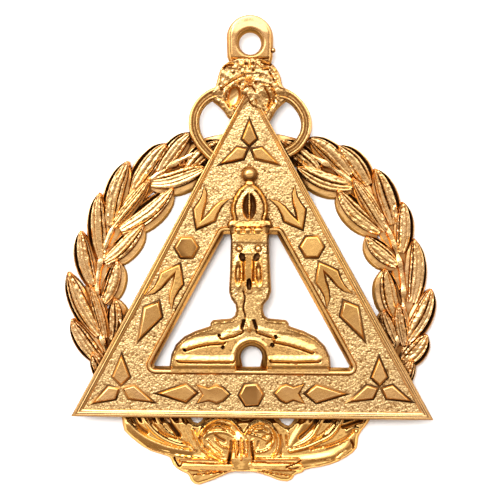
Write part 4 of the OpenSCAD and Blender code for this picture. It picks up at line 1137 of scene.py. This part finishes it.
bow = {
    "low": 0.3, "face": 1.55, "spacing": 0.14, "draft": 0.25,
    "outline": [
        (-20.74, -26.6), (-20.83, -27.41), (-20.66, -28.55), (-20.42, -29.53), (-19.44, -30.51),
        (-18.47, -31.32), (-17.49, -32.05), (-16.19, -32.78), (-14.89, -33.19), (-13.75, -33.52),
        (-13.02, -33.84), (-12.69, -34.41), (-12.45, -35.06), (-11.8, -35.71), (-10.98, -36.2),
        (-10.17, -36.53), (-9.76, -37.01), (-9.52, -37.67), (-9.03, -38.15), (-8.38, -38.27),
        (-7.24, -37.91), (-5.94, -37.42), (-4.8, -36.93), (-3.5, -36.36), (-2.36, -36.12), (-1.55, -36.09),
        (-0.41, -36.12), (0.89, -36.28), (2.2, -36.61), (3.34, -37.01), (4.31, -37.42), (5.13, -37.67),
        (6.1, -37.75), (6.75, -37.42), (7.08, -36.85), (7.57, -36.53), (8.38, -36.36), (8.87, -35.88),
        (9.84, -35.63), (11.47, -35.39), (13.1, -34.98), (14.4, -34.49), (15.7, -33.76), (16.68, -33.11),
        (17.33, -32.3), (17.46, -31.48), (17.57, -30.51), (18.14, -29.53), (18.95, -28.55), (19.52, -27.74),
        (19.77, -26.6), (8.38, -26.6), (7.89, -27.33), (7.4, -28.07), (6.91, -28.72), (6.43, -29.04),
        (5.78, -28.99), (5.13, -28.55), (4.47, -27.74), (3.82, -27.09), (3.34, -26.6), (0.73, -26.6),
        (0.33, -27.25), (-0.41, -27.58), (-1.22, -27.61), (-1.87, -27.25), (-2.36, -26.6), (-6.91, -26.6),
        (-7.24, -27.41), (-7.81, -28.23), (-8.54, -28.67), (-9.19, -28.55), (-9.68, -28.15),
        (-10.09, -27.41), (-10.33, -26.6),
    ],
    # folds and grooves: path, height, then one width, or left and right and perhaps a flat top
    "folds": [
        # left blades
        ([(-20.42, -26.76), (-19.61, -28.39), (-18.3, -29.69), (-16.84, -30.67), (-14.89, -31.56),
          (-12.61, -32.3), (-10.01, -32.7)], 0.75, 0.423, 1.22),
        ([(-19.44, -30.67), (-17.49, -31.81), (-15.38, -32.62), (-13.26, -33.11)], -0.22, 0.325),
        ([(-19.28, -27.09), (-18.14, -28.88), (-16.84, -29.86)], -0.7, 0.488, 0.358),
        ([(-17.65, -26.76), (-16.19, -29.04), (-14.56, -30.51), (-12.61, -31.48),
          (-10.66, -31.97)], 0.5, 0.488, 0.651),
        ([(-16.51, -27.09), (-15.54, -28.55), (-14.07, -30.02), (-11.96, -30.83)], -0.55, 0.212, 0.26),
        ([(-15.54, -26.76), (-14.24, -28.88), (-12.77, -30.18), (-11.47, -30.67)], 0.35, 0.26, 0.358),
        ([(-14.07, -26.76), (-12.77, -28.88), (-11.63, -30.34)], -1, 0.683, 0.521),
        ([(-11.31, -26.6), (-10.82, -28.39), (-10.17, -30.02), (-9.52, -31.48),
          (-9.03, -32.46)], 0.55, 0.732),
        ([(-11.14, -31.16), (-10.01, -31.81), (-9.03, -32.78)], -0.45, 0.228),
        ([(-9.19, -29.37), (-8.54, -31.16), (-7.57, -32.54), (-5.94, -33.6),
          (-4.47, -34.41)], 0.6, 0.293, 0.521),
        ([(-8.38, -30.34), (-7.89, -31.65), (-6.75, -32.78)], -0.4, 0.26),
        # right blades
        ([(9.68, -26.6), (8.54, -28.72), (7.4, -30.51), (6.59, -31.97)], 0.55, 0.814),
        ([(11.47, -26.6), (10.33, -28.55), (9.19, -29.86), (8.22, -30.67)], -0.8, 0.488, 0.553),
        ([(12.28, -26.6), (11.14, -28.72), (10.17, -30.34), (8.7, -31.48), (6.91, -32.13)], 0.45, 0.488),
        ([(14.24, -26.76), (13.26, -28.55), (11.63, -30.18), (9.52, -31.16)], -0.45, 0.325, 0.244),
        ([(15.21, -26.76), (14.4, -28.72), (13.1, -30.34), (11.14, -31.32), (9.03, -32.21),
          (6.59, -32.78)], 0.75, 0.553, 0.683),
        ([(17, -29.53), (15.7, -30.67), (14.07, -31.48), (12.28, -32.05),
          (9.84, -32.62)], -0.5, 0.244, 0.26),
        ([(17.49, -29.37), (16.35, -30.67), (14.72, -31.56), (12.45, -32.38)], 0.3, 0.26, 0.212),
        ([(18.3, -27.9), (16.84, -28.31), (15.21, -28.88)], -0.9, 0.521, 0.39),
        ([(17.65, -29.2), (16.68, -29.04), (15.86, -29.53)], 0.35, 0.423, 0.39),
        ([(16.51, -31.16), (16.84, -31.81), (16.84, -32.46)], -0.7, 0.293),
        ([(15.7, -32.62), (14.89, -33.19), (14.07, -33.76)], -0.3, 0.212),
        ([(17, -30.34), (15.7, -32.13), (13.42, -33.43), (10.82, -34.09),
          (8.54, -34.41)], 0.35, 0.814, 0.976),
        ([(6.26, -29.69), (6.26, -30.99), (6.43, -32.13)], 0.4, 0.325, 0.358),
        ([(5.86, -30.34), (5.94, -31.97)], -0.4, 0.244),
        # left volute
        ([(-8.38, -30.51), (-7.73, -29.12), (-6.43, -27.98), (-4.8, -27.51), (-3.01, -27.9),
          (-1.87, -29.04), (-1.06, -30.18), (-0.57, -30.67)], 0.85, 0.423, 0.39),
        ([(-7.57, -29.69), (-6.91, -28.8), (-5.78, -28.31), (-4.31, -28.31), (-3.17, -28.88)], -0.5, 0.244),
        ([(-7.57, -30.51), (-6.75, -29.37), (-5.61, -28.8), (-4.15, -28.96), (-3.17, -29.53),
          (-2.52, -30.02)], 0.7, 0.358, 0.39),
        ([(-4.64, -29.04), (-3.34, -29.45)], -0.6, 0.212),
        ([(-7.57, -31.97), (-7.48, -30.67), (-6.59, -29.86), (-5.13, -29.61), (-3.66, -29.86),
          (-2.68, -30.51)], 0.45, 0.39),
        ([(-5.61, -30.34), (-4.96, -30.83), (-4.15, -31.24)], -0.75, 0.423),
        ([(-6.91, -30.99), (-5.94, -31.97), (-4.64, -32.95)], 0.5, 0.293),
        ([(-5.61, -31.08), (-4.64, -31.97), (-3.5, -32.3)], 0.55, 0.293),
        ([(-6.75, -31.89), (-5.78, -32.95), (-4.47, -33.6)], 0.35, 0.293),
        ([(-7.89, -32.95), (-6.75, -33.76), (-4.8, -34.25)], -0.2, 0.244),
        # right volute
        ([(-0.89, -30.34), (-0.41, -29.29), (0.41, -28.47), (1.55, -27.98), (2.85, -28.31), (3.99, -29.37),
          (4.64, -30.83), (4.47, -32.62), (3.82, -33.6)], 0.85, 0.456, 0.423),
        ([(0.08, -29.53), (0.73, -28.88), (1.71, -28.64), (2.85, -29.04), (3.66, -30.02), (3.82, -31.16),
          (3.17, -32.3), (2.03, -32.87), (1.06, -32.95)], 0.6, 0.325, 0.358),
        ([(2.36, -28.72), (3.34, -29.53), (3.5, -30.83), (2.68, -31.81)], -0.55, 0.212, 0.244),
        ([(0.89, -29.53), (2.03, -29.45), (3.01, -29.86)], 0.5, 0.39),
        ([(-0.24, -30.02), (1.38, -30.34), (2.68, -30.99)], 0.45, 0.358, 0.293),
        ([(2.03, -30.51), (2.85, -30.26)], -0.5, 0.228),
        ([(0.49, -30.99), (0.65, -32.62)], 0.55, 0.309),
        ([(1.38, -31.32), (1.22, -32.13)], -0.5, 0.325, 0.293),
        ([(4.96, -30.34), (5.29, -31.97), (4.96, -33.43)], -0.45, 0.39, 0.228),
        # bow: a speckled upper fold, a full flat loop and a tail on each side
        ([(-12.1, -33.5), (-8.0, -33.95), (-4.0, -34.3)], 0.3, 0.3),
        ([(-10.9, -35.3), (-7.0, -35.45), (-3.2, -35.5)], 0.55, 0.78, 0.75, 0.45),
        ([(-9.4, -36.75), (-6.1, -36.45), (-2.9, -36.05)], -0.4, 0.15),
        ([(-12.35, -33.9), (-12.1, -34.7), (-11.5, -35.3), (-11.1, -34.7)], -0.7, 0.2),
        ([(-11.7, -34.5), (-11.65, -34.6)], 0.5, 0.32),
        ([(0.3, -33.9), (4.0, -34.0), (8.0, -33.95)], 0.3, 0.3),
        ([(0.2, -35.15), (4.0, -35.35), (8.0, -35.4)], 0.55, 0.72, 0.75, 0.45),
        ([(5.9, -35.35), (6.8, -35.1), (7.9, -34.7), (8.3, -34.3)], -0.6, 0.13),
        ([(5.9, -35.45), (7.0, -35.75), (7.9, -35.4)], -0.45, 0.11),
        ([(1.2, -36.1), (4.0, -36.5), (6.8, -36.95)], -0.35, 0.14),
        # knot: three ridges over a smooth waist, with painted shade in the grooves on both flanks
        ([(-1.42, -31.2), (-1.42, -33.0), (-1.42, -37.6)], 1.0, 2.1, 2.1, 0.2),
        ([(-2.4, -31.0), (-2.3, -32.4), (-2.2, -33.7)], 1.3, 0.42),
        ([(-1.45, -30.7), (-1.4, -32.4), (-1.42, -34.1)], 1.5, 0.44),
        ([(-0.5, -31.0), (-0.52, -32.4), (-0.65, -33.6)], 1.3, 0.42),
        ([(-3.05, -31.3), (-3.15, -32.8), (-3.5, -34.5)], -0.65, 0.42),
        ([(-1.9, -31.1), (-1.85, -32.4), (-2.0, -33.4)], -0.6, 0.14),
        ([(-0.98, -31.1), (-0.98, -32.3), (-1.02, -33.2)], -0.55, 0.14),
        ([(0.25, -31.4), (0.36, -32.8), (0.55, -34.1)], -0.65, 0.34),
    ],
}


def bowForm(x, y, edge):
    fromKnot = np.abs(x + 1.4)
    z = bow["face"] + 0.35 * bell(x + 1.2, 6.5) + 0.12 * unit((-33.2 - y) / 0.8)
    lean = 0.3 * np.clip(y + 35.25, 0, 0.75) * (fromKnot > 1.7) * (y < -34.2)
    z -= 0.05 * np.clip(-34.0 - y, 0, 4) + lean
    up, down = folded(x, y, bow["folds"])
    # the volutes and the leaves above the bow are worked more softly
    scroll = (np.abs(x + 1.2) < 7.5) * unit((fromKnot - 1.4) / 0.4) * (y > -33.0)
    soft = unit((y + 33.6) / 0.6)
    z += (0.85 - 0.15 * soft - 0.15 * scroll) * up + (0.7 - 0.2 * soft - 0.1 * scroll) * down
    z += 0.02 * (valueNoise(x, y, 0.5, 41) - 0.5)
    z -= 0.7 * edgeFall(edge, 0.4) + 0.5 * unit((y + 28.4) / 1.2)
    z = np.maximum(z, bow["low"] + 0.1)
    z = np.where(y > -27.6, np.minimum(z, 2.55), z)  # clear of the triangle
    # painted shade in the grooves, lighter on the softer upper work
    return z, painted(0.25 * unit(up) * (y > -34.3), unit(-(1.7 - 0.6 * soft) * down))


def addBow(casting):
    casting.relief(bow["outline"], bowForm, bow["low"], bow["spacing"], bow["draft"], 8)


# Camera, light and paper

camera = {"distance": 232.0, "target": (0.0, 0.0, 4.0), "frameWidth": 80.85}
studio = {
    "paperSize": 3.0, "paperDrop": 0.02, "paper": (0.93, 0.93, 0.93, 1), "paperRoughness": 0.8,
    # lamps: place, size, watts, and whether the metal mirrors them
    "lamps": {
        "overhead": ((-190, 200, 300), (150, 150), 0.25, True),
        "paper_light": ((-55, 60, 340), (115, 115), 1.05, False),
        "window_above": ((-150, 360, 330), (420, 190), 0.65, True),
        "window_left": ((-400, 90, 260), (200, 320), 0.2, True),
    },
    # brightness of the room from its dark lower right to its bright upper left
    "tones": [
        (0.0, 0.08), (0.2, 0.13), (0.36, 0.22), (0.41, 0.4), (0.436, 0.4), (0.455, 0.17), (0.505, 0.18),
        (0.53, 0.4), (0.542, 0.37), (0.555, 0.28), (0.59, 0.28), (0.62, 0.75), (0.655, 0.95), (0.685, 0.55),
        (0.72, 0.5), (0.75, 0.9), (0.82, 0.95), (0.88, 0.5), (1.0, 1.0),
    ],
    "slant": (-0.09, 0.45, 0.0), "warmth": (1.0, 0.6, 0.3), "strength": 2.75,
}


def addCamera():
    data = bpy.data.cameras.new("camera")
    data.angle = 2 * math.atan(camera["frameWidth"] / 2 / camera["distance"])
    data.clip_start = 0.01
    view = linked("camera", data)
    x, y, z = camera["target"]
    view.location = (x * mm, y * mm, (z + camera["distance"]) * mm)
    bpy.context.scene.camera = view
    bpy.context.scene.view_settings.view_transform = "Standard"


def addFloor():
    bpy.ops.mesh.primitive_plane_add(size=studio["paperSize"], location=(0, 0, -studio["paperDrop"] * mm))
    floor = bpy.context.object
    floor.name = "floor"
    paper = bpy.data.materials.new("white_paper")
    paper.use_nodes = True
    shader = paper.node_tree.nodes["Principled BSDF"]
    shader.inputs["Base Color"].default_value = studio["paper"]
    shader.inputs["Roughness"].default_value = studio["paperRoughness"]
    floor.data.materials.append(paper)


def addLamps():
    for name, (place, size, power, mirrored) in studio["lamps"].items():
        data = bpy.data.lights.new(name, "AREA")
        data.shape = "RECTANGLE"
        data.size, data.size_y = size[0] * mm, size[1] * mm
        data.energy = power
        lamp = linked(name, data)
        lamp.location = Vector(place) * mm
        lamp.visible_glossy = mirrored
        lamp.rotation_euler = (-lamp.location).to_track_quat("-Z", "Y").to_euler()


def addRoom():
    world = bpy.data.worlds.new("studio")
    bpy.context.scene.world = world
    world.use_nodes = True
    nodes, links = world.node_tree.nodes, world.node_tree.links
    coords = nodes.new("ShaderNodeTexCoord")
    toward = nodes.new("ShaderNodeVectorMath")
    toward.operation = "DOT_PRODUCT"
    toward.inputs[1].default_value = studio["slant"]
    links.new(coords.outputs["Generated"], toward.inputs[0])
    shift = nodes.new("ShaderNodeMath")
    shift.inputs[1].default_value = 0.5
    links.new(toward.outputs["Value"], shift.inputs[0])
    ramp = nodes.new("ShaderNodeValToRGB")
    links.new(shift.outputs[0], ramp.inputs[0])
    links.new(ramp.outputs[0], nodes["Background"].inputs["Color"])
    tones = ramp.color_ramp.elements
    for place, _ in studio["tones"][1:-1]:
        tones.new(place)
    for element, (place, value) in zip(tones, studio["tones"]):
        element.position = place
        dark = 1 - min(1, value / 0.5)
        element.color = (*(value * (1 - dark * (1 - w)) for w in studio["warmth"]), 1)
    nodes["Background"].inputs["Strength"].default_value = studio["strength"]


# The jewel

addCamera()
addFloor()
addLamps()
addRoom()
print("camera, paper, lamps and room made")

front, candlestick, top, lower, leaves = castings = [Casting() for _ in range(5)]
addPlate(front)
addRaisedShapes(front)
print("triangle and its raised shapes made")
addCandlestick(candlestick)
print("candlestick made")
addCrest(top)
addEye(top)
addScrolls(top)
print("crest, eye and scroll loops made")
addBow(lower)
addWreath(leaves)
print("bow and wreath made")

frontGold = goldSkin("front_gold", finish)
wreathGold = goldSkin("wreath_gold", finish, warmth=0.3)
bowGold = goldSkin("bow_gold", finish, warmth=-0.6)
rivetGold = goldSkin("rivet_gold", finish)
recessShade = recessShadeMap(castings)
front.build("triangle_front", frontGold, "frame_gilt", "triangle_frame", recessShade)
candlestick.build("candlestick", frontGold, "frame_gilt", "triangle_frame", recessShade)
top.build("crest_and_eye", frontGold, "frame_gilt", "triangle_frame", recessShade)
lower.build("bow_and_volutes", bowGold, "wreath_gilt", "laurel_wreath", recessShade)
leaves.build("laurel_leaves", wreathGold, "wreath_gilt", "laurel_wreath", recessShade)
for name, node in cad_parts.items():
    if name.startswith("rivet"):
        for slot in node.material_slots:
            slot.material = rivetGold
print("pieces and rivets gilded")
